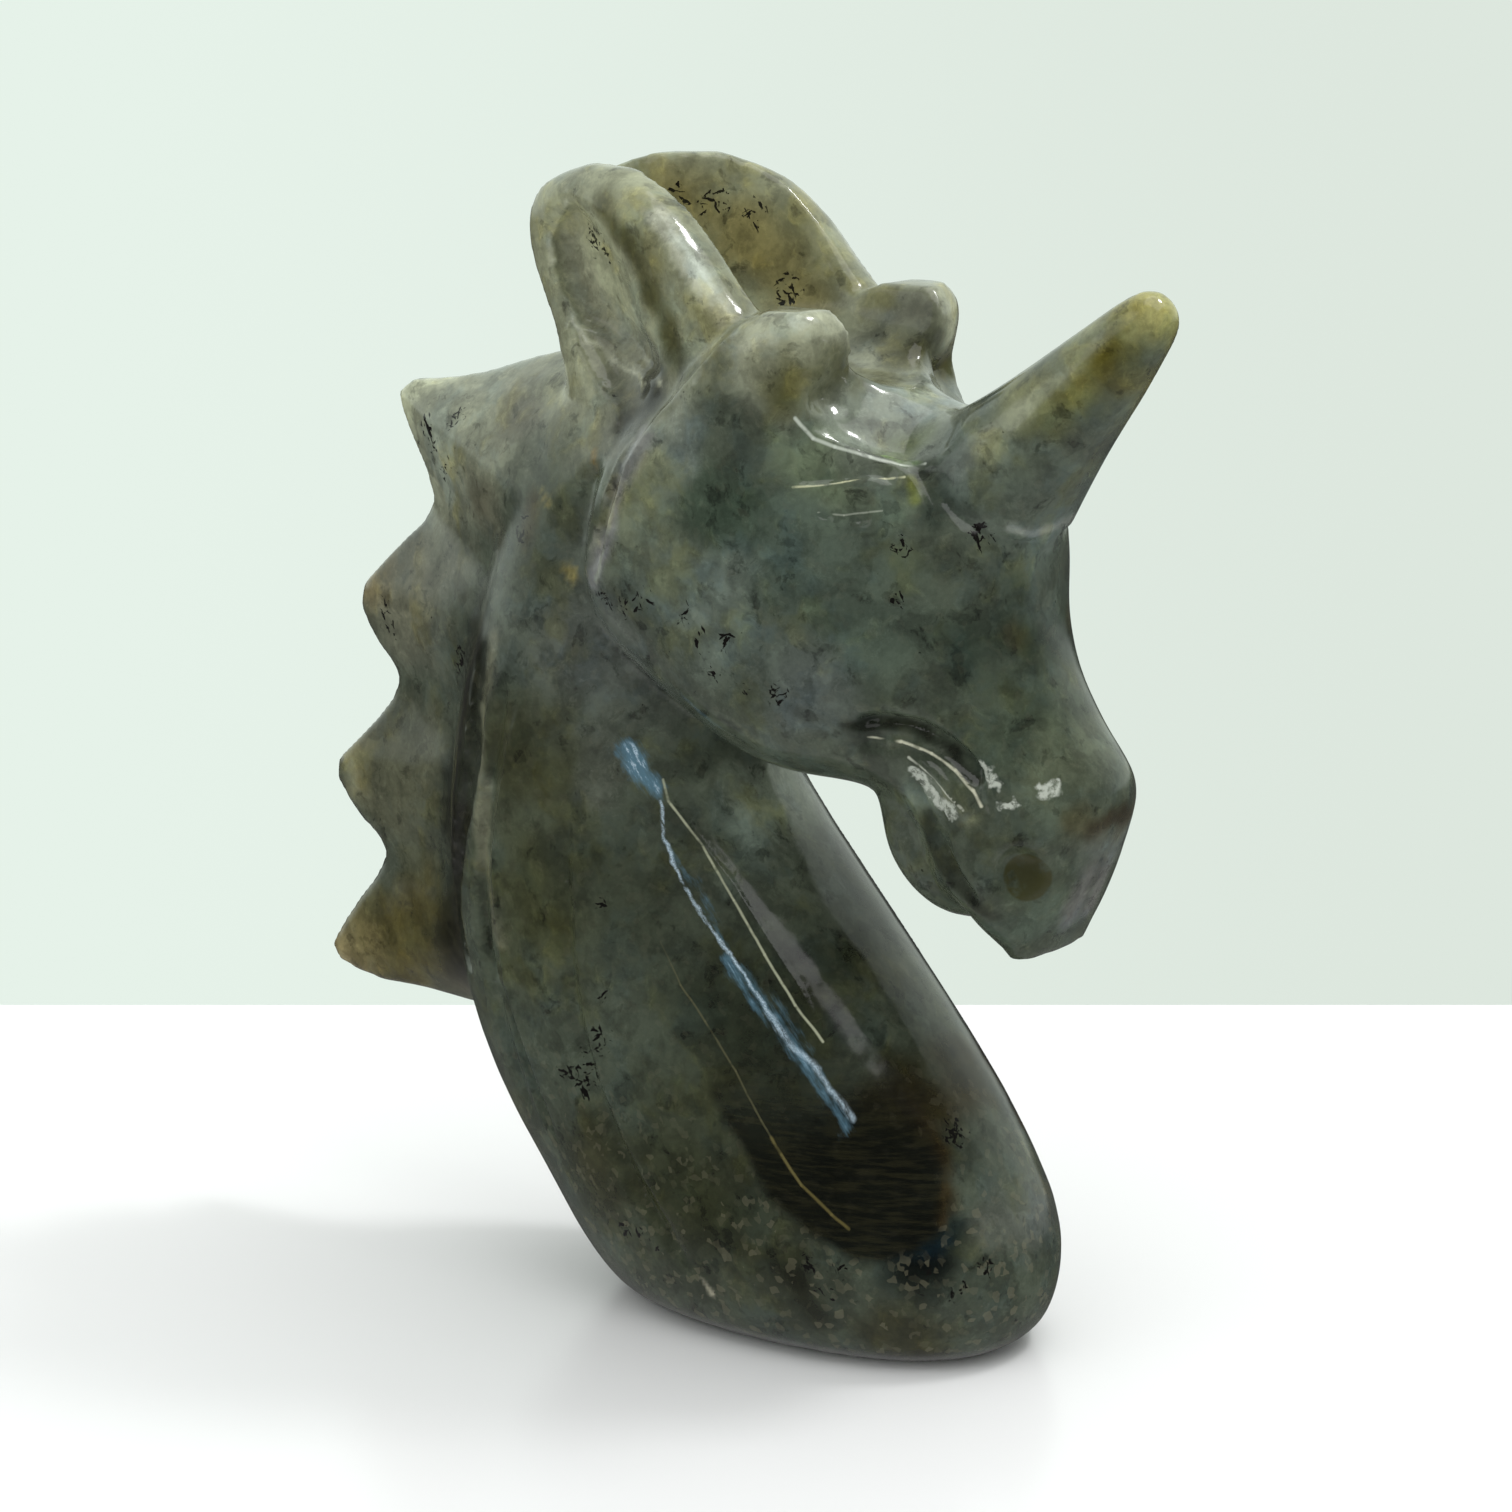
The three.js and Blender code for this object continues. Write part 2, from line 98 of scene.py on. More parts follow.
class Socket:
    """A node's output, on which Python's operators add Math nodes."""

    def __init__(self, graph: "Graph", output: bpy.types.NodeSocket) -> None:
        """Keeps the graph that the socket is in and the socket itself."""
        self.graph = graph
        self.output = output

    def _math(self, operation: str, left: Any, right: Any) -> "Socket":
        """Adds a Math node and gives its result."""
        made = self.graph.node("ShaderNodeMath", {"operation": operation}, {0: left, 1: right})
        return Socket(self.graph, made.outputs[0])

    def __add__(self, other: Any) -> "Socket":
        """Adds a number or a socket."""
        return self._math("ADD", self, other)

    def __radd__(self, other: Any) -> "Socket":
        """Is added to a number."""
        return self._math("ADD", other, self)

    def __sub__(self, other: Any) -> "Socket":
        """Takes off a number or a socket."""
        return self._math("SUBTRACT", self, other)

    def __rsub__(self, other: Any) -> "Socket":
        """Is taken off a number."""
        return self._math("SUBTRACT", other, self)

    def __mul__(self, other: Any) -> "Socket":
        """Multiplies by a number or a socket."""
        return self._math("MULTIPLY", self, other)

    def __rmul__(self, other: Any) -> "Socket":
        """Multiplies a number."""
        return self._math("MULTIPLY", other, self)

    def __abs__(self) -> "Socket":
        """Drops the sign."""
        return self._math("ABSOLUTE", self, 0.0)

    def most(self, other: Any) -> "Socket":
        """Gives the larger of this and another."""
        return self._math("MAXIMUM", self, other)

    def ramp(self, low: float, high: float, to_low: float = 0.0, to_high: float = 1.0) -> "Socket":
        """Turns a range of this value smoothly into another range.

        Args:
            low: The value that gives to_low.
            high: The value that gives to_high.
            to_low: The result at low and beyond.
            to_high: The result at high and beyond.

        Returns:
            The value in its new range.
        """
        made = self.graph.node(
            "ShaderNodeMapRange",
            {"interpolation_type": "SMOOTHSTEP", "clamp": True},
            {0: self, 1: low, 2: high, 3: to_low, 4: to_high},
        )
        return Socket(self.graph, made.outputs[0])


class Graph:
    """A node tree that is emptied and filled again through one method."""

    def __init__(self, tree: bpy.types.NodeTree) -> None:
        """Takes the tree and empties it."""
        self.tree = tree
        self.tree.nodes.clear()

    def node(
        self,
        kind: str,
        settings: Mapping[str, Any] | None = None,
        inputs: Mapping[Any, Any] | None = None,
    ) -> bpy.types.Node:
        """Adds a node, with its settings made first and its sockets after them.

        Args:
            kind: The node's type.
            settings: The node's own options by name.
            inputs: A value, a Socket or an output for each socket's name or number.

        Returns:
            The node.
        """
        made = self.tree.nodes.new(kind)
        for name, value in (settings or {}).items():
            setattr(made, name, value)
        for key, value in (inputs or {}).items():
            if isinstance(value, Socket):
                value = value.output
            if isinstance(value, bpy.types.NodeSocket):
                self.tree.links.new(value, made.inputs[key])
            else:
                made.inputs[key].default_value = value
        return made

    def vector(self, operation: str, *parts: Any, scale: Any = None) -> Socket:
        """Adds a Vector Math node.

        Args:
            operation: The node's operation.
            parts: The values or sockets of its vectors.
            scale: The factor of a SCALE, a number or a socket.

        Returns:
            Its vector, or its number where the operation gives one.
        """
        inputs: dict[Any, Any] = dict(enumerate(parts))
        if scale is not None:
            inputs["Scale"] = scale
        made = self.node("ShaderNodeVectorMath", {"operation": operation}, inputs)
        number = operation in ("LENGTH", "DISTANCE", "DOT_PRODUCT")
        return Socket(self, made.outputs["Value" if number else "Vector"])

    def mix(self, below: Any, above: Any, share: Any, blend: str = "MIX") -> Socket:
        """Lays one colour over another.

        Args:
            below: The colour underneath.
            above: The colour laid over it.
            share: How much of it shows, from 0 to 1.
            blend: How the two are blended.

        Returns:
            The mixed colour.
        """
        settings = {"data_type": "RGBA", "blend_type": blend}
        made = self.node("ShaderNodeMix", settings, {0: share, 6: below, 7: above})
        return Socket(self, made.outputs[2])

    def noise(self, place: Socket, size: float, detail: float, rough: float = 0.5) -> Socket:
        """Gives smooth noise.

        Args:
            place: Where it is read, in metres.
            size: The size of its features in millimetres.
            detail: How many finer layers it has.
            rough: How strong each finer layer is.

        Returns:
            The noise's height, about 0.5.
        """
        inputs = {"Vector": place, "Scale": 1 / (size * MM), "Detail": detail, "Roughness": rough}
        return Socket(self, self.node("ShaderNodeTexNoise", None, inputs).outputs["Fac"])

    def attribute(self, name: str, output: str = "Fac") -> Socket:
        """Reads what the skin's points hold under a name."""
        made = self.node("ShaderNodeAttribute", {"attribute_name": name})
        return Socket(self, made.outputs[output])

    def height(self, place: Socket) -> Socket:
        """Gives how high each place is."""
        return Socket(self, self.node("ShaderNodeSeparateXYZ", None, {0: place}).outputs[2])

    def folded(self, place: Socket) -> Socket:
        """Gives each place on the far side its like on the near side.

        Args:
            place: The places, in metres.

        Returns:
            The places, all on the near side.
        """
        parts = self.node("ShaderNodeSeparateXYZ", None, {0: place}).outputs
        near = abs(Socket(self, parts[1])) * -1
        made = self.node("ShaderNodeCombineXYZ", None, {0: parts[0], 1: near, 2: parts[2]})
        return Socket(self, made.outputs[0])

    def drawn_out(self, place: Socket, turn: float, length: float) -> Socket:
        """Draws a pattern out into strands that run along the carving's sides.

        Args:
            place: The places, in metres.
            turn: Degrees by which the strands are turned about the Y axis.
            length: How many times longer than wide they are.

        Returns:
            The places at which the pattern is read.
        """
        inputs = {
            "Vector": place,
            "Rotation": (0.0, math.radians(turn), 0.0),
            "Scale": (length, 1.0, 1.0),
        }
        made = self.node("ShaderNodeMapping", {"vector_type": "TEXTURE"}, inputs)
        return Socket(self, made.outputs[0])

    def cells(self, place: Socket, size: float, smooth: float = 0.0) -> tuple[Socket, Socket]:
        """Gives the cells that crystals fill, each with numbers of its own.

        Args:
            place: Where they are read, in metres.
            size: The size of a cell in millimetres.
            smooth: How softly a cell passes into the next.

        Returns:
            Two random numbers from 0 to 1, each alike all over a cell.
        """
        inputs: dict[str, Any] = {"Vector": place, "Scale": 1 / (size * MM)}
        if smooth:
            inputs["Smoothness"] = smooth
        settings = {"feature": "SMOOTH_F1" if smooth else "F1"}
        colour = self.node("ShaderNodeTexVoronoi", settings, inputs).outputs["Color"]
        parts = self.node("ShaderNodeSeparateColor", None, {0: colour}).outputs
        return Socket(self, parts[0]), Socket(self, parts[1])

    def scatter(self, place: Socket, size: float, amount: float, detail: float) -> Socket:
        """Moves places about by noise, so that what is read there has uneven edges.

        Args:
            place: The places, in metres.
            size: The size of the noise's features in millimetres.
            amount: How far a place moves at most, in millimetres.
            detail: How many finer layers the noise has.

        Returns:
            The moved places.
        """
        inputs = {"Vector": place, "Scale": 1 / (size * MM), "Detail": detail}
        colour = self.node("ShaderNodeTexNoise", None, inputs).outputs["Color"]
        centred = self.vector("SUBTRACT", colour, (0.5, 0.5, 0.5))
        return self.vector("ADD", place, self.vector("SCALE", centred, scale=2 * amount * MM))


@dataclass(frozen=True)
class Zone:
    """A zone of the stone round a straight line from one place to another.

    Attributes:
        start: One end of its line, in millimetres.
        end: The other end.
        reach: How far it goes from the line.
        share: How strongly it shows, from 0 to 1.
        fade: The share of its reach over which it fades.
    """

    start: Triple
    end: Triple
    reach: float
    share: float
    fade: float = 0.8

    def mask(self, graph: Graph, place: Socket) -> Socket:
        """Gives how much of the zone shows at each place.

        Args:
            graph: The material's graph.
            place: The places, in metres.

        Returns:
            A number from 0 to its share.
        """
        start, end = Vector(self.start) * MM, Vector(self.end) * MM
        line = end - start
        from_start = graph.vector("SUBTRACT", place, tuple(start))
        if line.length > 0:
            along = graph.vector("DOT_PRODUCT", from_start, tuple(line / line.length_squared))
            along = graph.node("ShaderNodeClamp", None, {0: along}).outputs[0]
            nearest = graph.vector("SCALE", tuple(line), scale=along)
            from_start = graph.vector("SUBTRACT", from_start, nearest)
        away = graph.vector("LENGTH", from_start)
        reach = self.reach * MM
        return away.ramp(reach * (1 - self.fade), reach, self.share, 0.0)

    def shares(self, places: np.ndarray) -> np.ndarray:
        """Gives how much of the zone shows at each of many places.

        Args:
            places: The places, in millimetres.

        Returns:
            Numbers from 0 to its share.
        """
        start = np.array(self.start)
        line = np.array(self.end) - start
        along = np.clip((places - start) @ line / max(line @ line, 1e-9), 0, 1)
        away = np.linalg.norm(places - start - along[:, None] * line, axis=1)
        level = np.clip((self.reach - away) / (self.reach * self.fade), 0, 1)
        return self.share * level * level * (3 - 2 * level)


@dataclass(frozen=True)
class VeinOrPaintedLight:
    """A cloud or a streak in the stone, or a painted highlight, reflection or shade laid out like one.

    Attributes:
        zone: Where it lies and how it fades.
        colour: Its linear colour.
    """

    zone: Zone
    colour: Colour


class Cut(Enum):
    """How a stroke of the carver's wheel leaves the stone."""

    GROOVE = "a round channel"
    CREASE = "a sharp valley"
    RIDGE = "a narrow raised line"
    LEDGE = "a crisp edge with a hollow on its right"


@dataclass(frozen=True)
class Stroke:
    """One stroke of the wheel, laid alike on the near and the far side.

    Attributes:
        name: What it carves.
        path: Places on the near side that it passes, in millimetres.
        reach: How far it works from its path.
        depth: How deep it cuts, or how high it leaves the stone.
        cut: How it leaves the stone.
        taper: The length over which it runs in and out.
    """

    name: str
    path: Path
    reach: float
    depth: float
    cut: Cut
    taper: float = 2.5

    def profile(self, across: np.ndarray) -> np.ndarray:
        """Gives how deep the stroke cuts at distances across its path.

        Args:
            across: Signed distances in reaches, positive on the right of the path.

        Returns:
            The share of its depth, negative where it leaves the stone raised.
        """
        away = np.clip(np.abs(across), 0, 1)
        if self.cut is Cut.GROOVE:
            return (1 - away**2) ** 2
        if self.cut is Cut.CREASE:
            return (1 - away) ** 2
        if self.cut is Cut.RIDGE:
            return -((1 - away) ** 2)
        right = np.clip(across, 0, 1)
        return 6.75 * right * (1 - right) ** 2


BROW: Path = (
    (13.0, -6.1, 71.1), (10.3, -7.5, 71.1), (8.2, -8.3, 71.5), (6.0, -9.7, 72.2), (4.7, -10.8, 73.4),
)

STROKES: tuple[Stroke, ...] = (
    Stroke(
        "ear dish",
        ((-7.9, -9.9, 74.8), (-10.7, -8.7, 74.9), (-13.5, -8.0, 75.8), (-15.8, -7.8, 77.1),
         (-17.9, -7.3, 78.8), (-19.8, -6.8, 80.5), (-20.7, -6.6, 82.5), (-21.1, -6.6, 84.7),
         (-20.3, -6.8, 86.3), (-18.4, -7.1, 88.4)),
        4.0, 0.8, Cut.LEDGE,
    ),
    Stroke("brow scoop", BROW, 4.5, 0.35, Cut.LEDGE, 1.5),
    Stroke("brow edge", BROW, 0.8, 0.12, Cut.RIDGE, 1.5),
    Stroke(
        "upper lid",
        ((11.9, -8.2, 68.9), (10.1, -8.4, 69.3), (7.2, -9.9, 68.9), (4.7, -11.6, 68.6)),
        1.6, 0.35, Cut.LEDGE, 1.0,
    ),
    Stroke("lower lid", ((6.2, -11.0, 66.7), (8.1, -10.2, 66.5)), 0.6, 0.3, Cut.CREASE, 0.8),
    Stroke("lid corner", ((8.9, -10.0, 66.4), (10.8, -9.6, 66.4)), 0.6, 0.3, Cut.CREASE, 0.8),
    Stroke(
        "eye socket",
        ((15.0, -8.6, 62.9), (15.0, -8.1, 64.9), (14.5, -7.9, 66.7), (13.5, -7.5, 68.6),
         (12.1, -7.4, 70.1), (10.4, -7.6, 70.9)),
        2.2, 0.3, Cut.LEDGE, 1.5,
    ),
    Stroke(
        "tear line",
        ((9.0, -10.1, 66.2), (11.1, -9.9, 64.7), (12.2, -10.0, 62.6)),
        0.7, 0.25, Cut.CREASE,
    ),
    Stroke(
        "cheek edge",
        ((-0.5, -10.8, 79.9), (-2.0, -11.7, 78.0), (-4.1, -11.8, 75.7), (-7.0, -11.1, 73.0),
         (-8.5, -11.6, 71.0), (-9.7, -12.1, 68.9), (-10.8, -12.4, 66.7), (-11.6, -12.4, 64.3),
         (-12.2, -12.4, 61.9), (-12.8, -12.1, 59.5)),
        0.9, 0.3, Cut.RIDGE, 3.0,
    ),
    Stroke(
        "cheek flute",
        ((-10.4, -11.8, 69.3), (-11.3, -12.1, 67.0), (-12.1, -12.2, 64.6), (-12.8, -12.1, 62.0),
         (-13.6, -11.6, 59.3)),
        1.5, 0.5, Cut.GROOVE, 3.0,
    ),
    Stroke(
        "flute edge",
        ((-10.1, -11.3, 70.5), (-11.4, -11.9, 68.1), (-12.3, -12.1, 65.7), (-13.1, -12.2, 62.6),
         (-14.8, -10.2, 58.9)),
        0.7, 0.25, Cut.RIDGE, 2.0,
    ),
    Stroke(
        "horn root",
        ((14.3, -6.8, 69.2), (16.0, -6.7, 67.1), (17.9, -5.6, 65.7),
         (19.6, -3.3, 64.6), (20.3, -0.4, 64.4)),
        1.2, 0.55, Cut.CREASE, 1.5,
    ),
    Stroke(
        "horn ridge",
        ((18.3, -5.4, 71.2), (20.0, -5.0, 73.2), (22.6, -4.2, 76.0),
         (24.9, -3.4, 78.8), (26.9, -2.6, 80.9)),
        1.8, 0.3, Cut.RIDGE, 3.0,
    ),
    Stroke(
        "mouth",
        ((9.3, -11.1, 50.9), (12.1, -10.4, 51.8), (14.7, -9.0, 51.3), (17.6, -8.0, 49.3),
         (19.6, -7.8, 46.9)),
        1.2, 1.1, Cut.CREASE, 1.5,
    ),
    Stroke(
        "lip",
        ((10.9, -9.7, 49.8), (12.9, -8.9, 50.1), (15.7, -7.8, 49.1), (17.8, -7.8, 47.4),
         (19.4, -7.7, 46.1)),
        0.8, 0.45, Cut.RIDGE, 1.5,
    ),
    Stroke(
        "lower lip",
        ((13.9, -8.9, 48.8), (15.7, -8.6, 48.0), (17.5, -8.6, 46.0), (18.9, -8.6, 44.6)),
        0.8, 0.45, Cut.RIDGE, 1.5,
    ),
    Stroke(
        "chin line",
        ((13.3, -9.0, 48.2), (15.6, -8.4, 43.4), (17.9, -8.3, 39.8), (19.8, -8.0, 37.8)),
        1.0, 0.75, Cut.CREASE,
    ),
    Stroke(
        "mane root",
        ((-26.3, -9.4, 52.6), (-26.9, -9.8, 46.1), (-28.3, -9.1, 39.3), (-30.2, -8.1, 34.6),
         (-31.2, -7.0, 30.1), (-30.1, -7.5, 26.2), (-27.4, -9.4, 24.3)),
        1.2, 0.25, Cut.CREASE,
    ),
    Stroke(
        "rear strand",
        ((-22.2, -11.0, 51.8), (-22.8, -11.1, 48.4), (-23.6, -11.2, 44.6), (-24.7, -11.2, 39.4),
         (-25.3, -10.8, 35.5), (-25.4, -10.5, 31.6), (-24.9, -10.4, 27.3), (-22.7, -11.5, 24.1),
         (-20.2, -11.4, 18.1), (-17.5, -11.3, 12.7)),
        0.9, 0.5, Cut.CREASE, 4.0,
    ),
    Stroke(
        "rear strand's roll",
        ((-20.4, -11.4, 49.7), (-21.6, -11.7, 45.6), (-22.7, -11.9, 40.7), (-23.5, -11.8, 36.0),
         (-23.1, -11.8, 31.0), (-22.3, -11.7, 25.5), (-19.9, -11.8, 19.9)),
        0.9, 0.2, Cut.RIDGE, 4.0,
    ),
    Stroke(
        "front strand",
        ((-15.0, -10.9, 48.5), (-15.7, -11.5, 44.0), (-16.5, -11.8, 39.2), (-16.5, -12.1, 35.2),
         (-16.1, -12.2, 31.3), (-15.3, -12.3, 25.7), (-13.3, -12.3, 19.6), (-9.8, -12.3, 13.4),
         (-6.4, -12.5, 8.7), (-2.8, -12.1, 4.5)),
        1.3, 0.2, Cut.GROOVE, 5.0,
    ),
    Stroke(
        "throat line",
        ((-9.8, -8.9, 44.0), (-6.8, -8.3, 39.9), (-3.4, -7.8, 36.3), (0.4, -7.9, 31.9),
         (3.2, -7.9, 28.7), (5.3, -8.2, 25.8)),
        0.5, 0.1, Cut.RIDGE, 3.0,
    ),
    Stroke(
        "knob's foot",
        ((4.7, -10.2, 74.8), (6.1, -8.1, 74.7), (6.3, -6.0, 75.0)),
        1.5, 0.6, Cut.GROOVE, 1.0,
    ),
)


@dataclass(frozen=True)
class Rubbing:
    """A place where the polisher has rubbed the stone round, alike on both sides.

    Attributes:
        name: What it rounds.
        path: Places on the near side that it passes, in millimetres.
        reach: How far it works from its path.
        steps: How often the place is eased.
    """

    name: str
    path: Path
    reach: float
    steps: int


RUBBINGS: tuple[Rubbing, ...] = (
    Rubbing(
        "ear dish's front",
        ((-17.1, -7.6, 88.4), (-15.0, -8.4, 87.6), (-13.2, -8.9, 86.0), (-11.3, -9.3, 83.8),
         (-10.5, -8.6, 81.4), (-9.6, -8.8, 79.2), (-8.9, -9.2, 77.6), (-8.4, -9.7, 76.2)),
        2.6, 20,
    ),
    Rubbing(
        "channel's rim",
        ((5.4, -6.6, 76.0), (6.4, -6.2, 75.6), (7.2, -5.5, 74.9), (8.7, -4.3, 74.1),
         (10.5, -3.8, 73.6), (12.1, -3.5, 73.1)),
        2.6, 60,
    ),
)


@dataclass
class StoneCarving:
    """The carving's skin: a fine copy of its solid, eased, and carved stroke by stroke.

    Attributes:
        node: The solid that it copies and stands for.
        slot: A name for its stone; not used.
        face_size: The side of the skin's faces in millimetres.
        counted_face: The side of a face for which the easing steps are counted.
        fine_reach: How far from a stroke the skin gets smaller faces, at most.
        fine_margin: How much farther than the stroke's own reach these faces go.
        line_step: How far apart a stroke's places are.
        line_widths: How many of them are averaged before they are laid on the skin, on it,
            and for the way that it faces.
        blunt_end: How much of its run-in a stroke skips at its ends.
        agree_from: How well the skin has to face as the stroke does, at least.
        agree_over: The range of this over which the stroke grows to its full depth.
        crisp_angle: Degrees past which an edge of the solid stays crisp.
        crisp_step: How far apart the places along such an edge are.
        crisp_core: How far from it the skin isn't eased at all.
        crisp_reach: How far beyond that the easing grows to its full strength.
        ease_steps: How often the skin is eased elsewhere.
        settle_steps: How often it is eased everywhere.
        foot_band: How high above the table the skin is pressed flat.
        light_reach: How thick the stone may be for light to show through it.
        light_depth: How thick the stone is where most of the light is lost.
        light_steps: How often the light's mark is spread to its neighbours.
        rubbings: Where it is rubbed round before it is carved.
        strokes: What is carved into it.
        piece: The skin's object.
    """

    node: str = "unicorn_carving"
    slot: str = "labradorite"
    face_size: float = 0.52
    counted_face: float = 0.45
    fine_reach: float = 1.1
    fine_margin: float = 0.25
    line_step: float = 0.15
    line_widths: tuple[int, int, int] = (9, 5, 15)
    blunt_end: float = 0.1
    agree_from: float = 0.05
    agree_over: float = 0.4
    crisp_angle: float = 38.0
    crisp_step: float = 0.4
    crisp_core: float = 0.3
    crisp_reach: float = 1.3
    ease_steps: int = 26
    settle_steps: int = 3
    foot_band: float = 0.12
    light_reach: float = 30.0
    light_depth: float = 5.0
    light_steps: int = 12
    rubbings: tuple[Rubbing, ...] = RUBBINGS
    strokes: tuple[Stroke, ...] = STROKES
    piece: bpy.types.Object = field(init=False)

    def build(self) -> bpy.types.Object:
        """Makes the skin and puts it in the solid's place.

        Returns:
            The skin's object.
        """
        low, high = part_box(self.node)
        solid = bpy.data.objects[self.node]
        mesh = solid.data.copy()
        shape = bmesh.new()
        shape.from_mesh(mesh)
        bmesh.ops.remove_doubles(shape, verts=shape.verts, dist=1e-6)
        crisp = self._crisp_places(shape)
        shape.to_mesh(mesh)
        shape.free()
        mesh.materials.clear()
        self.piece = bpy.data.objects.new("carved_stone", mesh)
        bpy.context.scene.collection.objects.link(self.piece)
        self._remesh()
        self._ease(crisp)
        for rubbing in self.rubbings:
            self._rub(rubbing)
        self._refine()
        for stroke in self.strokes:
            self._carve(stroke)
        self._keep_inside(low, high)
        self._mark()
        self.piece.data.shade_smooth()
        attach(self.piece, "root")
        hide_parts(self.node)
        return self.piece

    def _crisp_places(self, shape: bmesh.types.BMesh) -> KDTree:
        """Finds places along the solid's sharp edges.

        Args:
            shape: The solid, with its corners joined.

        Returns:
            A tree of the places.
        """
        places: list[Vector] = []
        for edge in shape.edges:
            if math.degrees(edge.calc_face_angle(0.0)) > self.crisp_angle:
                first, last = (v.co for v in edge.verts)
                parts = max(1, round((last - first).length / (self.crisp_step * MM)))
                places += [first.lerp(last, i / parts) for i in range(parts + 1)]
        tree = KDTree(len(places))
        for number, place in enumerate(places):
            tree.insert(place, number)
        tree.balance()
        return tree

    def _apply(self) -> None:
        """Makes the skin's modifiers part of its mesh."""
        graph = bpy.context.evaluated_depsgraph_get()
        made = bpy.data.meshes.new_from_object(self.piece.evaluated_get(graph))
        self.piece.modifiers.clear()
        self.piece.data = made

    def _remesh(self) -> None:
        """Turns the solid's long faces into small even ones."""
        remesh = self.piece.modifiers.new("Even faces", "REMESH")
        remesh.mode = "VOXEL"
        remesh.voxel_size = self.face_size * MM
        self._apply()

    def _smooth(self, steps: int, shares: np.ndarray | None = None) -> None:
        """Eases the skin.

        Args:
            steps: How often, counted for faces of the counted size.
            shares: How much each point is eased, or None for all alike.
        """
        smooth = self.piece.modifiers.new("Ease", "SMOOTH")
        smooth.factor = 0.5
        smooth.iterations = max(1, round(steps * (self.counted_face / self.face_size) ** 2))
        if shares is not None:
            group = self.piece.vertex_groups.new(name="ease")
            for level in range(1, 11):
                points = np.flatnonzero(np.round(shares * 10) == level)
                group.add(points.tolist(), level / 10, "REPLACE")
            smooth.vertex_group = group.name
        self._apply()
        self.piece.vertex_groups.clear()

    def _places(self) -> np.ndarray:
        """Finds the skin's points.

        Returns:
            Their places in metres.
        """
        places = np.empty(len(self.piece.data.vertices) * 3, np.float32)
        self.piece.data.vertices.foreach_get("co", places)
        return places.reshape(-1, 3).astype(float)

    def _normals(self) -> np.ndarray:
        """Finds the way that the skin faces at each point.

        Returns:
            A unit vector for each point.
        """
        normals = np.empty(len(self.piece.data.vertices) * 3, np.float32)
        self.piece.data.vertex_normals.foreach_get("vector", normals)
        return normals.reshape(-1, 3).astype(float)

    def _move_to(self, places: np.ndarray) -> None:
        """Puts the skin's points at new places."""
        self.piece.data.vertices.foreach_set("co", places.astype(np.float32).ravel())
        self.piece.data.update()

    def _ease(self, crisp: KDTree) -> None:
        """Turns the solid's flat facets round and leaves its sharp edges crisp.

        Args:
            crisp: Places along the sharp edges.
        """
        places = self._places()
        away = np.array([crisp.find(place)[2] for place in places]) / MM
        self._smooth(self.ease_steps, np.clip((away - self.crisp_core) / self.crisp_reach, 0, 1))
        self._smooth(self.settle_steps)

    def _rub(self, rubbing: Rubbing) -> None:
        """Rubs a place round on both sides of the skin.

        Args:
            rubbing: The place.
        """
        places = self._places()
        shares = np.zeros(len(places))
        for side in (1, -1):
            line, _ = self._line(rubbing.path, side)
            chosen, gaps = self._around(places, line, rubbing.reach * MM)
            away = gaps.min(1) / (rubbing.reach * MM)
            shares[chosen] = np.maximum(shares[chosen], 1 - np.clip(away, 0, 1) ** 2)
        self._smooth(rubbing.steps, shares)

    @staticmethod
    def _around(places: np.ndarray, line: np.ndarray, reach: float) -> tuple[np.ndarray, np.ndarray]:
        """Finds the points near a line.

        Args:
            places: All points.
            line: The line's places.
            reach: How near a point has to be in each axis.

        Returns:
            The points' numbers, and each one's distance to each of the line's places.
        """
        boxed = np.all((places > line.min(0) - reach) & (places < line.max(0) + reach), 1)
        chosen = np.flatnonzero(boxed)
        return chosen, np.linalg.norm(places[chosen, None] - line[None], axis=2)

    def _line(self, path: Path, side: float) -> tuple[np.ndarray, np.ndarray]:
        """Lays a path on the skin.

        Args:
            path: The places that it passes on the near side, in millimetres.
            side: 1 for the near side, -1 for the far side.

        Returns:
            Places a line's step apart, and the way that the skin faces there.
        """
        knots = np.array(path, float) * (1, side, 1) * MM
        reach = np.r_[0, np.cumsum(np.linalg.norm(np.diff(knots, axis=0), axis=1))]
        steps = max(4, int(reach[-1] / (self.line_step * MM)))
        at = np.linspace(0, reach[-1], steps)
        line = np.stack([np.interp(at, reach, knots[:, i]) for i in range(3)], 1)
        before, after, facing_width = self.line_widths
        line = self._rounded(line, before)
        tree = BVHTree.FromObject(self.piece, bpy.context.evaluated_depsgraph_get())
        found = [tree.find_nearest(Vector(place)) for place in line]
        line = self._rounded(np.array([f[0] for f in found]), after)
        facing = self._rounded(np.array([f[1] for f in found]), facing_width)
        return line, facing / np.linalg.norm(facing, axis=1, keepdims=True)

    @staticmethod
    def _rounded(line: np.ndarray, width: int) -> np.ndarray:
        """Averages each place of a line with its neighbours.

        Args:
            line: The places.
            width: How many are averaged.

        Returns:
            As many places, with the two ends kept.
        """
        width = min(width, len(line) // 2 * 2 - 1)
        half = width // 2
        padded = np.pad(line, ((half, half), (0, 0)), "edge")
        kernel = np.ones(width) / width
        return np.stack([np.convolve(padded[:, i], kernel, "valid") for i in range(3)], 1)

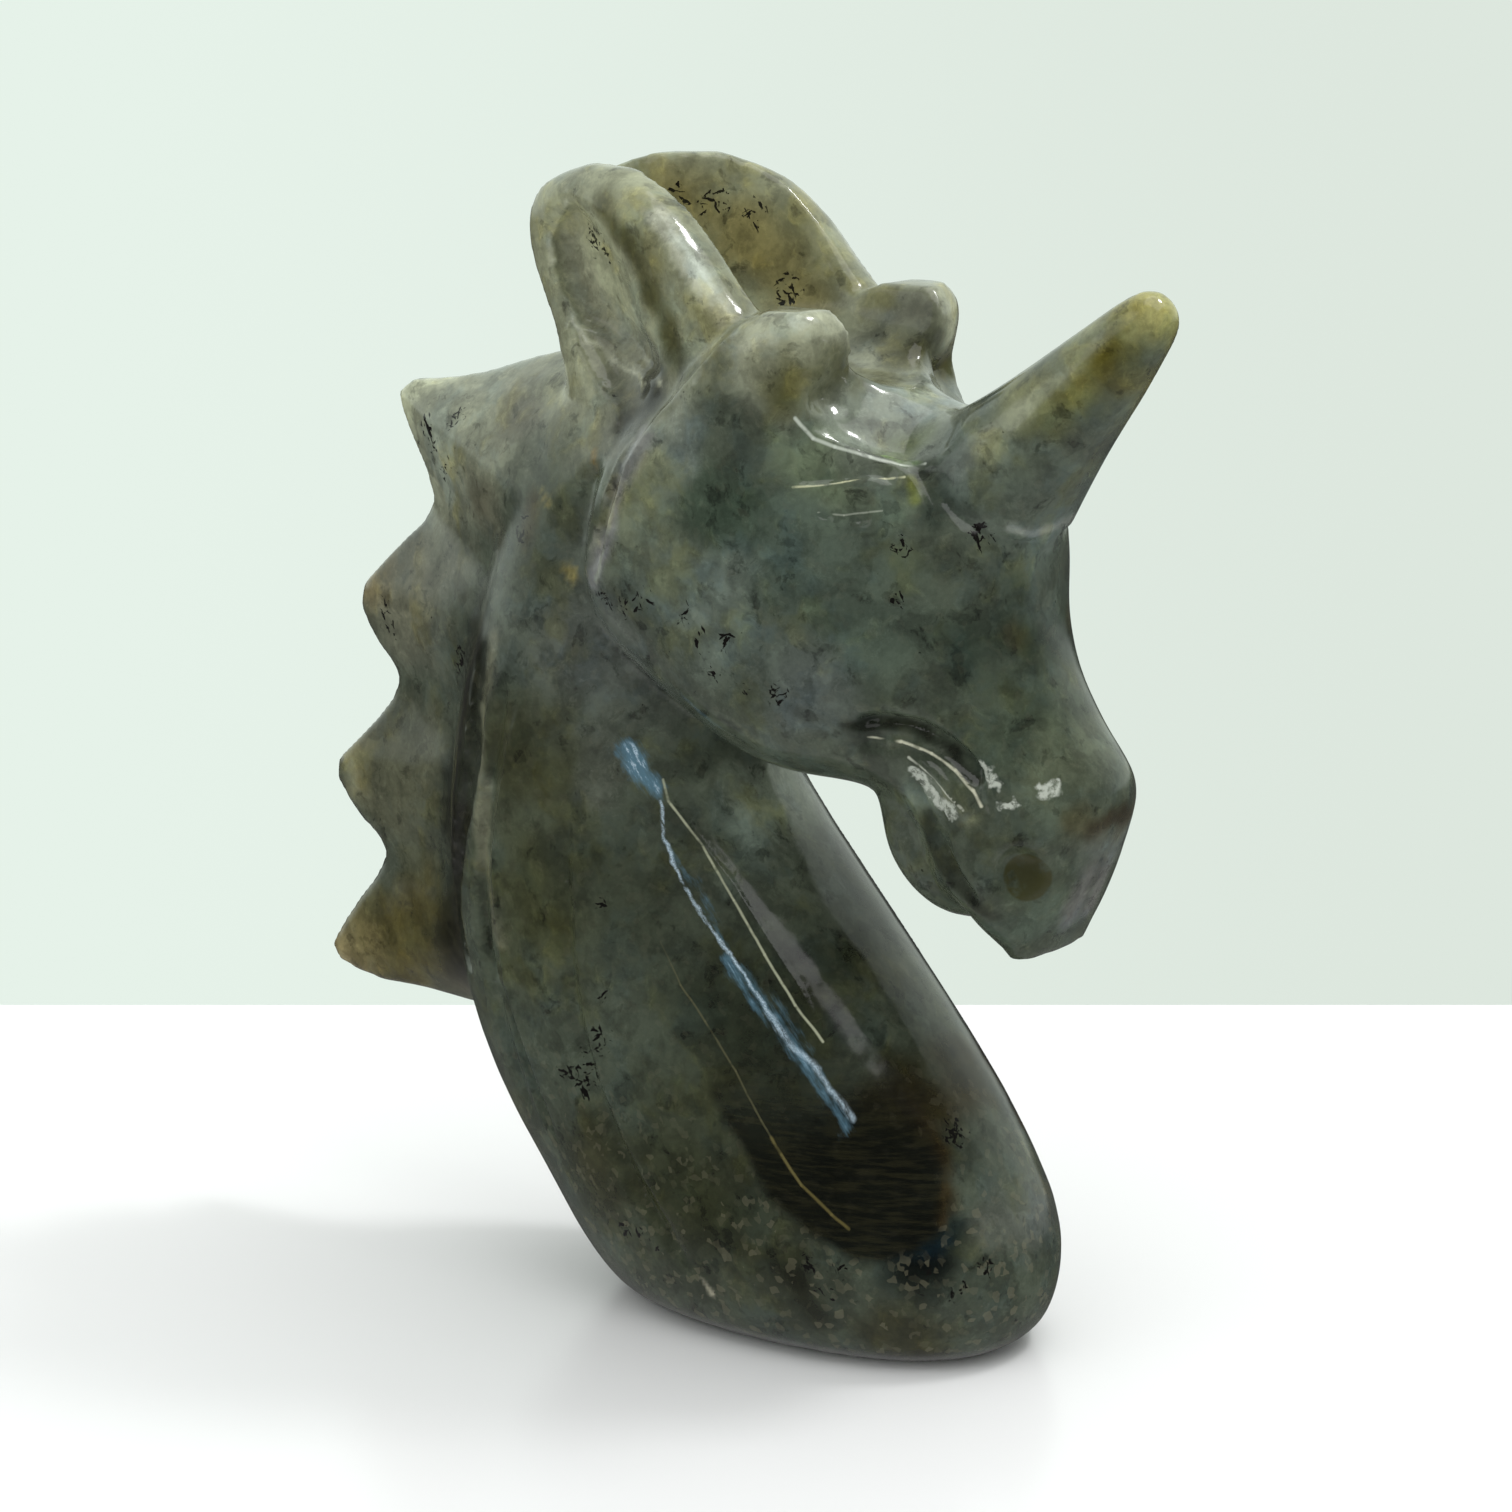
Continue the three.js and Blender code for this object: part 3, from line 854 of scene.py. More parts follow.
    def _refine(self) -> None:
        """Gives the skin smaller faces along the strokes."""
        places = self._places()
        near = np.zeros(len(places), bool)
        for stroke in self.strokes:
            for side in (1, -1):
                line, _ = self._line(stroke.path, side)
                reach = (min(stroke.reach, self.fine_reach) + self.fine_margin) * MM
                chosen, gaps = self._around(places, line, reach)
                near[chosen[gaps.min(1) < reach]] = True
        shape = bmesh.new()
        shape.from_mesh(self.piece.data)
        edges = [e for e in shape.edges if near[e.verts[0].index] and near[e.verts[1].index]]
        bmesh.ops.subdivide_edges(shape, edges=edges, cuts=1, use_grid_fill=True)
        shape.to_mesh(self.piece.data)
        shape.free()

    def _carve(self, stroke: Stroke) -> None:
        """Lays a stroke on both sides of the skin.

        Args:
            stroke: The stroke.
        """
        for side in (1, -1):
            line, facing = self._line(stroke.path, side)
            places, normals = self._places(), self._normals()
            reach = stroke.reach * MM
            chosen, gaps = self._around(places, line, reach)
            along = np.gradient(line, axis=0)
            along /= np.linalg.norm(along, axis=1, keepdims=True)
            to_right = np.cross(along, facing) * side
            run = np.r_[0, np.cumsum(np.linalg.norm(np.diff(line, axis=0), axis=1))]
            nearest = gaps.argmin(1)
            gap = gaps[np.arange(len(chosen)), nearest]
            offset = places[chosen] - line[nearest]
            right = np.sign(np.einsum("ij,ij->i", offset, to_right[nearest]))
            taper = max(stroke.taper * MM, 1e-6)
            from_end = np.minimum(run, run[-1] - run)[nearest]
            share = np.clip((from_end + self.blunt_end * MM) / taper, 0, 1)
            share = share * share * (3 - 2 * share)
            agree = np.einsum("ij,ij->i", normals[chosen], facing[nearest])
            share *= np.clip((agree - self.agree_from) / self.agree_over, 0, 1)
            cut = stroke.profile(gap * right / reach) * (gap < reach)
            places[chosen] -= facing[nearest] * (cut * share * stroke.depth * MM)[:, None]
            self._move_to(places)

    def _keep_inside(self, low: Vector, high: Vector) -> None:
        """Keeps the skin within its solid's box and the foot flat on the table.

        Args:
            low: The box's lowest corner.
            high: The box's highest corner.
        """
        places = np.clip(self._places(), np.array(low), np.array(high))
        foot = places[:, 2] < self.foot_band * MM
        places[foot, 2] = low.z
        self._move_to(places)

    def _mark(self) -> None:
        """Writes how thin the stone is behind each point, for the painted glow of light through it."""
        places, normals = self._places(), self._normals()
        tree = BVHTree.FromObject(self.piece, bpy.context.evaluated_depsgraph_get())
        depth = np.full(len(places), self.light_reach * MM)
        for number, (place, normal) in enumerate(zip(places, normals)):
            start = Vector(place - normal * self.line_step * MM)
            hit = tree.ray_cast(start, Vector(-normal), self.light_reach * MM)
            if hit[0] is not None:
                depth[number] = hit[3]
        thin = np.exp(-depth / (self.light_depth * MM))
        ends = np.empty(len(self.piece.data.edges) * 2, int)
        self.piece.data.edges.foreach_get("vertices", ends)
        first, last = ends.reshape(-1, 2).T
        count = np.bincount(ends, minlength=len(thin))
        for _ in range(self.light_steps):
            total = np.bincount(first, thin[last], len(thin)) + np.bincount(last, thin[first], len(thin))
            thin = (thin + total / np.maximum(count, 1)) / 2
        mark = self.piece.data.attributes.new("thinness", "FLOAT", "POINT")
        mark.data.foreach_set("value", thin.astype(np.float32))


def cloud(
    x: float,
    y: float,
    z: float,
    reach: float,
    tone: Triple,
    share: float = 0.9,
    fade: float = 0.85,
) -> VeinOrPaintedLight:
    """Gives a cloud that runs through the stone from its near to its far side, or painted shade or a
    painted reflection laid out the same way.

    Args:
        x: Its place in millimetres.
        y: How far it runs to either side.
        z: Its height.
        reach: How far it goes from its line.
        tone: Its colour as seen, from 0 to 255.
        share: How strongly it shows.
        fade: The share of its reach over which it fades.

    Returns:
        The cloud.
    """
    return VeinOrPaintedLight(Zone((x, -y, z), (x, y, z), reach, share, fade), shown(*tone))


def trail(path: Path, reach: float, share: float, fade: float = 0.85) -> tuple[Zone, ...]:
    """Gives the zones along a path on the near side; their like show on the far side.

    Args:
        path: The places that it joins, in millimetres.
        reach: How far the zones go from the path.
        share: How strongly they show.
        fade: The share of their reach over which they fade.

    Returns:
        A zone for each stretch, or one round the path's only place.
    """
    return tuple(Zone(a, b, reach, share, fade) for a, b in zip(path, path[1:] or path))


def streak(
    path: Path, reach: float, tone: Triple, share: float = 0.9, fade: float = 0.85
) -> tuple[VeinOrPaintedLight, ...]:
    """Gives a streak along a path on the near side; its like shows on the far side.

    Args:
        path: The places that it joins, in millimetres.
        reach: How far it goes from the path.
        tone: Its colour as seen, from 0 to 255.
        share: How strongly it shows.
        fade: The share of its reach over which it fades.

    Returns:
        A streak, or a painted highlight or shade, for each stretch.
    """
    return tuple(VeinOrPaintedLight(zone, shown(*tone)) for zone in trail(path, reach, share, fade))


def specks(reach: float, *places: Triple) -> tuple[Zone, ...]:
    """Gives small zones of black mineral round places on the near side.

    Args:
        reach: How far each zone goes.
        places: Their places, in millimetres.

    Returns:
        The zones.
    """
    return tuple(Zone(place, place, reach, 1.0, 0.6) for place in places)


CLOUDS_AND_PAINTED_LIGHT: tuple[VeinOrPaintedLight, ...] = (
    # Neck and foot
    cloud(-14, 10, 54, 11, (93, 99, 92)),
    cloud(-20, 12, 44, 8, (66, 68, 46)),
    cloud(-19, 12, 33, 9, (66, 68, 40)),
    cloud(-11, 12, 34, 9, (60, 66, 52)),
    cloud(-14, 12, 45, 4, (96, 101, 90), 0.6),
    cloud(1, 11, 27, 12, (42, 48, 34)),
    cloud(-3, 13, 12, 13, (52, 55, 34)),
    cloud(-13, 12, 13, 7, (64, 64, 42)),
    cloud(10, 11, 17, 9, (22, 24, 10)),
    cloud(12, 6, 21, 5, (50, 44, 20)),
    cloud(13, 11, 3, 5.5, (58, 58, 36)),
    cloud(6, 12, 6, 6, (27, 28, 8)),
    cloud(15.5, 9, 9.5, 5, (3, 10, 9), 0.95),
    cloud(19, 4, 12, 4, (92, 96, 88), 0.7),
    cloud(-2.5, 3.5, 42, 6.5, (156, 168, 146), 0.9),
    cloud(2, 3, 37, 5, (110, 118, 100), 0.7),
    cloud(7, 2, 29, 6, (84, 90, 74), 0.7),
    # Head
    cloud(-8, 13, 65, 8, (118, 126, 104)),
    cloud(4, 12, 63, 9, (84, 98, 86)),
    cloud(-2, 13, 59, 7, (110, 121, 110)),
    cloud(6, 12, 54, 6, (96, 104, 98)),
    cloud(12, 10, 59, 7, (82, 95, 82)),
    cloud(-1, 13, 67, 5, (72, 88, 72)),
    cloud(-5, 12, 72, 5, (124, 136, 128)),
    cloud(6, 10, 70, 4.5, (118, 132, 104)),
    cloud(11, 8.5, 67, 4, (116, 130, 104), 0.7),
    cloud(16, 6.5, 68.5, 4, (46, 57, 49)),
    cloud(17, 6, 57, 6, (56, 68, 56)),
    cloud(21, 1.5, 59, 5, (50, 62, 50)),
    cloud(20, 6, 51, 6, (74, 85, 68)),
    cloud(23, 5, 47, 5, (96, 104, 82)),
    cloud(23, 5, 38, 6, (80, 90, 72)),
    cloud(26.5, 3, 41, 3.5, (108, 116, 108), 0.8),
    # Painted shade in the mouth's crease.
    cloud(10, 10, 51.5, 4, (22, 31, 22), 0.8),
    cloud(13, 7, 41, 6, (98, 106, 92)),
    cloud(15, 8, 46, 2.8, (116, 128, 114)),
    # Ears, knobs and brow
    cloud(-13, 10, 73, 6, (84, 86, 80)),
    cloud(-16, 10, 84, 19, (160, 164, 134), 0.95, 0.5),
    cloud(-9, 10, 84, 5, (128, 126, 84), 0.7),
    cloud(-4, 10, 80, 6, (152, 156, 126)),
    # Painted reflection of the sky on the brow's scoop.
    cloud(9, 6, 75, 8, (152, 161, 146)),
    cloud(4, 12, 79, 7, (184, 188, 160)),
    # Painted shade under the knob.
    cloud(5, 11, 75.5, 3.4, (88, 88, 50)),
    cloud(10, 8, 71.2, 2.4, (98, 110, 70), 0.7),
    cloud(-10.5, 10.5, 73.6, 5, (74, 76, 70), 0.9),
    # Horn
    VeinOrPaintedLight(Zone((18, 0, 71), (20, 0, 67), 7, 0.95), shown(100, 112, 102)),
    cloud(16, 5, 71, 4.5, (112, 124, 114), 0.8),
    VeinOrPaintedLight(Zone((22, 0, 75), (30, 0, 84), 6, 0.95), shown(136, 137, 82)),
    cloud(19.5, 5, 72, 4.5, (114, 124, 108), 0.85),
    cloud(23.5, 4, 76, 4, (136, 141, 98), 0.8),
    cloud(26, 2, 77.5, 3.8, (108, 98, 28), 0.9),
    cloud(29.5, 1, 83, 4.5, (192, 188, 122), 0.8),
    # Mane
    VeinOrPaintedLight(Zone((-30, 0, 69), (-36, 0, 70), 13, 0.95, 0.6), shown(154, 159, 135)),
    cloud(-24, 12, 70, 4, (112, 112, 98), 0.7),
    cloud(-40, 1, 71, 5, (206, 212, 176)),
    VeinOrPaintedLight(Zone((-34, 0, 54), (-40, 0, 54), 9, 0.95, 0.6), shown(116, 117, 98)),
    cloud(-28, 8, 63, 5, (92, 90, 72), 0.8),
    cloud(-44, 1, 54, 4, (134, 123, 88)),
    VeinOrPaintedLight(Zone((-36, 0, 39), (-42, 0, 38), 8, 0.95, 0.6), shown(94, 96, 76)),
    cloud(-47, 1, 37.5, 5, (138, 136, 106)),
    VeinOrPaintedLight(Zone((-36, 0, 26), (-42, 0, 25), 8, 0.95, 0.6), shown(92, 86, 48)),
    cloud(-48, 1, 21.5, 6, (146, 134, 95)),
    # Far knob
    VeinOrPaintedLight(Zone((2.0, 6.0, 78.5), (6.5, 5.4, 76.5), 4, 0.8), shown(92, 96, 78)),
)

STREAKS_AND_PAINTED_LIGHT: tuple[VeinOrPaintedLight, ...] = (
    # Painted shade along the mane's root, and the strand before it
    *streak(((-28, -8.5, 51), (-31, -7, 38), (-33, -5, 24)), 6.5, (28, 28, 17)),
    *streak(((-24.4, -10.2, 53.0), (-25.4, -10.1, 47.2), (-25.0, -11.2, 41.8), (-25.1, -10.5, 35.1),
            (-22.6, -12.0, 29.3)), 1.3, (122, 124, 102), 0.85),
    # Cheek flute and its edges
    *streak(((-8.5, -11.6, 71.0), (-10.8, -12.4, 66.7), (-12.2, -12.4, 61.9), (-13.6, -11.6, 59.3)),
            1.6, (138, 139, 137), 0.8),
    *streak(((-0.5, -10.8, 79.9), (-4.1, -11.8, 75.7), (-8.5, -11.6, 71.0), (-10.8, -12.4, 66.7),
            (-12.2, -12.4, 61.9), (-12.8, -12.1, 59.5)), 0.5, (160, 166, 148), 0.7),
    *streak(((-10.1, -11.3, 70.5), (-12.3, -12.1, 65.7), (-13.1, -12.2, 62.6), (-14.8, -10.2, 58.9)),
            0.5, (150, 154, 138), 0.6),
    # Gold grains
    *streak(((-14.7, -9.9, 68.9), (-14.6, -9.9, 67.9)), 0.6, (176, 142, 66), 0.6),
    *streak(((-20.2, -9.1, 65.2), (-19.4, -9.1, 64.6)), 0.5, (176, 164, 100), 0.5),
    *streak(((-17.2, -10.3, 59.8), (-16.2, -10.3, 58.8)), 0.6, (176, 160, 84), 0.5),
    # Green light by the eye
    *streak(((12.8, -7.8, 69.6), (13.2, -7.9, 67.8)), 0.8, (130, 139, 66), 0.65),
    *streak(((10.0, -7.1, 70.9), (12.2, -6.7, 70.8)), 0.7, (120, 160, 80), 0.6),
    # Brown patches
    *streak(((-21.3, -9.2, 64.0), (-21.6, -9.2, 61.6)), 1.8, (70, 62, 40), 0.7),
    *streak(((18.9, -3.9, 58.2), (20.2, -3.6, 57.4)), 1.5, (74, 68, 38), 0.5),
    *streak(((25.2, -4.2, 44.8), (26.6, -1.6, 42.6)), 2.0, (84, 78, 50), 0.6),
    # Painted highlights on the lips
    *streak(((14.7, -8.5, 47.6), (17.1, -8.6, 45.8), (18.7, -8.6, 44.7)), 1.0, (128, 136, 122), 0.6),
    *streak(((10.9, -9.7, 49.8), (12.9, -8.9, 50.1), (15.7, -7.8, 49.1), (17.8, -7.8, 47.4),
            (19.4, -7.7, 46.1)), 0.6, (120, 128, 112), 0.5),
    # Painted glint at the groove's end
    *streak(((-2.9, -12.6, 5.2), (-2.5, -12.1, 4.4)), 0.5, (210, 206, 180), 0.9),
    # Painted highlight along the ear's rear rim
    *streak(((-13.1, -8.0, 75.6), (-17.9, -7.3, 78.8), (-20.7, -6.6, 82.5), (-20.3, -6.8, 86.3)), 0.9,
            (196, 202, 174), 0.6),
    # Clear zone's rim
    *streak(((12.0, -6.7, 21.5), (14.6, -5.5, 17.3), (15.9, -6.4, 13.4)), 1.5, (62, 48, 20), 0.6),
    *streak(((13.6, -9.3, 10.2), (15.4, -8.1, 11.0), (16.8, -6.6, 12.2)), 1.6, (16, 36, 42), 0.7),
    *streak(((15.8, -6.4, 14.6), (15.6, -7.2, 12.6)), 0.8, (90, 68, 26), 0.6),
    # Far ear's dish
    *streak(((-17, -3.5, 87), (-11, -4.8, 84), (-6, -5.4, 79.5)), 4.2, (156, 148, 98), 0.8),
    # Painted highlights along the horn's ridge and at its root
    *streak(((17.7, -5.3, 71.9), (20.4, -4.6, 75.0), (23.1, -3.5, 78.4), (25.6, -2.4, 81.2)), 2.0,
            (156, 162, 134), 0.6),
    *streak(((19.6, -4.4, 65.9), (20.9, -2.2, 65.6), (21.2, 0.0, 65.6)), 0.8, (150, 156, 146), 0.6),
    # Ear: its dish, painted shade on its wall, and painted highlights on its facet and rim
    *streak(((-20.0, -4.9, 84.1), (-18.5, -5.0, 80.8), (-16.0, -5.3, 77.5), (-12.1, -7.2, 75.7)), 2.6,
            (146, 148, 124), 0.8),
    *streak(((-15.1, -8.2, 87.9), (-11.6, -9.3, 84.9), (-9.2, -9.6, 81.6), (-7.6, -9.8, 78.6),
            (-6.7, -10.0, 76.6)), 1.9, (84, 84, 52), 0.85),
    *streak(((-9.3, -9.4, 87.5), (-5.4, -10.0, 83.9), (-2.5, -10.0, 80.7)), 1.3, (218, 222, 198), 0.8),
    *streak(((-19.7, -6.3, 87.0), (-21.5, -5.8, 84.7), (-21.3, -6.1, 82.4), (-20.0, -6.0, 79.7),
            (-17.6, -6.3, 77.0), (-14.9, -6.8, 75.3), (-11.1, -8.4, 74.4), (-8.4, -9.7, 75.1)), 0.42,
            (198, 202, 176), 0.8),
    # Shade in the mouth and behind the chin
    *streak(((9.7, -10.9, 50.8), (12.5, -9.7, 51.3), (14.6, -8.3, 50.7), (16.7, -7.5, 49.3),
            (18.7, -7.5, 47.3)), 0.95, (34, 38, 28), 0.85),
    *streak(((14.6, -8.2, 44.5), (15.2, -8.4, 42.4), (16.9, -8.4, 40.5), (18.8, -8.1, 38.5),
            (20.1, -7.6, 37.2)), 1.0, (50, 54, 44), 0.75),
    # Muzzle's far wing, and a painted reflection on its front
    *streak(((25.8, -2.6, 43.6), (26.2, -0.8, 44.1), (26.4, -1.0, 44.6)), 1.3, (54, 48, 30), 0.85),
    *streak(((24.7, -1.0, 39.7), (23.4, -1.2, 36.7)), 2.2, (112, 112, 108), 0.8),
    # Shade under the ear and the jaw
    *streak(((-9.2, -9.9, 73.3),), 2.6, (28, 30, 26), 0.8),
    *streak(((-14.1, -10.1, 55.4), (-12.0, -9.2, 52.8), (-9.8, -7.6, 50.4), (-3.5, -11.3, 50.3),
            (0.2, -11.8, 49.7)), 0.55, (34, 38, 34), 0.7),
)

# The stone's blue flash along the neck, painted together with a reflection of a window.
FLASHES: tuple[Zone, ...] = (
    *trail(((-11.9, -9.8, 46.2), (-10.7, -9.4, 44.3), (-9.6, -9.2, 43.0)), 1.5, 1.0),
    *trail(((-8.0, -9.4, 39.0), (-5.5, -9.4, 35.8), (-2.6, -9.8, 32.2)), 0.8, 0.4),
    *trail(((-0.9, -9.8, 30.0), (2.0, -9.6, 27.4), (4.6, -9.5, 24.6)), 1.3, 0.5),
    *trail(((-2.4, -10.1, 31.1), (0.9, -9.9, 27.9), (3.4, -9.9, 25.4), (6.2, -9.6, 22.4),
            (8.6, -9.6, 19.3)), 1.0, 0.65),
)

CRACKS_AND_PAINTED_LIGHT: tuple[VeinOrPaintedLight, ...] = (
    # Painted shade in the nostril
    *streak(((22.2, -5.9, 40.3),), 1.95, (58, 57, 30), 0.85, 0.12),
    # Pale crack
    *streak(((-9.2, -8.6, 43.7), (-8.6, -8.7, 42.1), (-5.9, -8.2, 38.9), (-2.7, -8.3, 35.0),
            (0.3, -8.5, 31.2), (3.2, -8.6, 27.7), (5.6, -8.4, 25.2)), 0.16, (180, 184, 156)),
    # Gold crack
    *streak(((-7.2, -11.8, 31.8), (-5.2, -12.0, 28.7), (-2.9, -11.9, 26.2), (-0.1, -11.9, 22.7),
            (2.4, -12.0, 19.2), (4.2, -11.9, 16.8), (6.0, -11.8, 14.7)), 0.13, (98, 96, 70), 0.6),
    *streak(((3.3, -11.9, 18.0), (4.2, -11.9, 16.8), (6.0, -11.8, 14.7), (8.5, -11.4, 12.7),
            (9.9, -11.1, 11.7)), 0.2, (116, 106, 62), 0.6),
    # Painted highlights on the lips
    *streak(((10.7, -10.0, 50.2), (13.1, -9.3, 50.0), (15.2, -8.4, 49.2), (17.2, -8.1, 48.1),
            (18.7, -8.0, 46.8), (19.4, -8.0, 45.7)), 0.2, (206, 206, 182), 0.9),
    *streak(((13.6, -9.0, 48.8), (14.9, -8.8, 47.9), (16.7, -8.7, 46.5), (18.3, -8.8, 45.4)), 0.17,
            (190, 194, 178), 0.8),
    # Painted highlights on the lids
    *streak(((4.9, -11.5, 68.6), (7.9, -9.6, 69.0), (10.7, -8.0, 69.3), (12.2, -7.6, 69.6)), 0.14,
            (206, 208, 170), 0.8),
    *streak(((6.7, -10.8, 66.8), (8.6, -10.2, 66.7), (11.2, -9.2, 67.2)), 0.12, (176, 182, 166), 0.5),
    # Painted highlight along the brow's edge
    *streak(((4.6, -10.8, 73.6), (5.7, -10.1, 72.2), (7.0, -9.1, 71.5), (9.4, -8.0, 70.8),
            (11.5, -7.1, 70.3), (13.1, -6.3, 70.5)), 0.22, (206, 214, 200), 0.75),
)

# Painted highlights on the lips, in small chips.
PAINTED_LIP_HIGHLIGHTS: tuple[VeinOrPaintedLight, ...] = tuple(
    vein_or_painted_light
    for reach, start, end in (
        (0.75, (13.9, -8.5, 47.6), (15.1, -8.2, 46.4)),
        (0.75, (15.1, -8.2, 46.1), (17.2, -8.7, 45.0)),
        (0.6, (19.3, -7.4, 48.6), (20.2, -7.5, 47.4)),
        (0.5, (21.0, -7.6, 45.8), (21.8, -7.2, 46.0)),
        (0.75, (23.3, -5.9, 46.9), (24.0, -5.1, 47.1)),
    )
    for vein_or_painted_light in streak((start, end), reach, (196, 202, 190), 0.85, 0.45)
)

# The flash's bright line, partly a painted reflection.
FLASH_AND_REFLECTION_LINE: tuple[Zone, ...] = (
    *trail(((-9.1, -9.1, 42.1), (-8.3, -9.7, 39.3), (-6.5, -10.0, 36.3), (-3.5, -10.0, 32.8),
            (-0.7, -9.9, 29.8), (1.6, -9.9, 27.1)), 0.22, 0.95, 1.0),
    *trail(((1.6, -9.9, 27.1), (3.6, -9.8, 24.9), (5.4, -9.4, 23.7), (7.1, -9.3, 21.7),
            (8.9, -9.1, 19.8)), 0.42, 0.95, 1.2),
)

INCLUSIONS: tuple[Zone, ...] = (
    *specks(1.7, (-13.7, -12.2, 21.1), (-12.1, -13.0, 23.3), (-13.9, -12.7, 19.2),
            (-15.9, -12.6, 19.9)),
    *specks(1.1, (-12.1, -12.9, 26.9), (-12.4, -12.4, 34.0), (-10.8, -12.1, 8.1), (-8.8, -12.4, 7.8),
            (-7.2, -12.4, 7.3), (6.9, -12.1, 8.5), (9.0, -11.6, 8.3), (8.0, -11.7, 6.4),
            (15.8, -8.4, 8.3), (17.2, -7.1, 7.1), (18.7, -5.3, 8.8)),
    *specks(1.3, (14.4, -3.9, 18.8), (14.9, -3.6, 18.0)),
    *specks(1.3, (-10.6, -12.3, 57.4), (-9.2, -12.4, 57.8), (-12.4, -11.8, 57.9), (-7.9, -12.7, 58.8),
            (-4.0, -13, 58.1), (-2.9, -13, 57.0), (-2.4, -13.1, 55.4), (-1.2, -13.1, 53.9),
            (-0.2, -13.1, 56.8), (1.4, -12.9, 53.6), (4.6, -12.6, 53.0), (-3.4, -13, 52.0),
            (-7.0, -12.6, 51.2), (-4.5, -12.4, 49.6)),
    *specks(1.3, (-31.8, -4.0, 69.5), (-32.6, -4, 68.7), (-36.4, -3.3, 67.8), (-35.7, -3.3, 66.4),
            (-33.6, -4.1, 65.0), (-34.6, -3.9, 64.4)),
    *specks(1.5, (-31.5, -5.3, 50.4), (-31.6, -5.2, 48.8), (-22.3, -9.2, 62.0)),
    *specks(1.5, (-42.3, -1.2, 52.0), (-41.6, -1.4, 50.4)),
    *specks(1.2, (17.4, -6.1, 65.6), (17.9, -5.6, 64.8), (13.1, -9.2, 64.8), (12.8, -9.8, 60.8)),
    *specks(1.9, (-17.2, -6.3, 84.6), (-15.8, -6.3, 84.2)),
    *specks(1.7, (-16.4, -3.9, 87.1), (-13.8, -4.9, 86.4), (-10.6, -5.8, 85.8), (-7.5, -5.6, 80.8),
            (-7.2, -5.6, 79.6)),
)

DARK_WINDOW: tuple[tuple[float, float], ...] = (
    (-2.9, 23.1), (-1.5, 19.4), (0.9, 16.3), (3.2, 13.1), (6.3, 10.8), (10.2, 9.1), (12.4, 8.8),
    (14.8, 9.9), (16.3, 11.4), (16.2, 13.8), (15.1, 17.2), (12.8, 20.6), (10.0, 24.5), (4.5, 26.0),
)


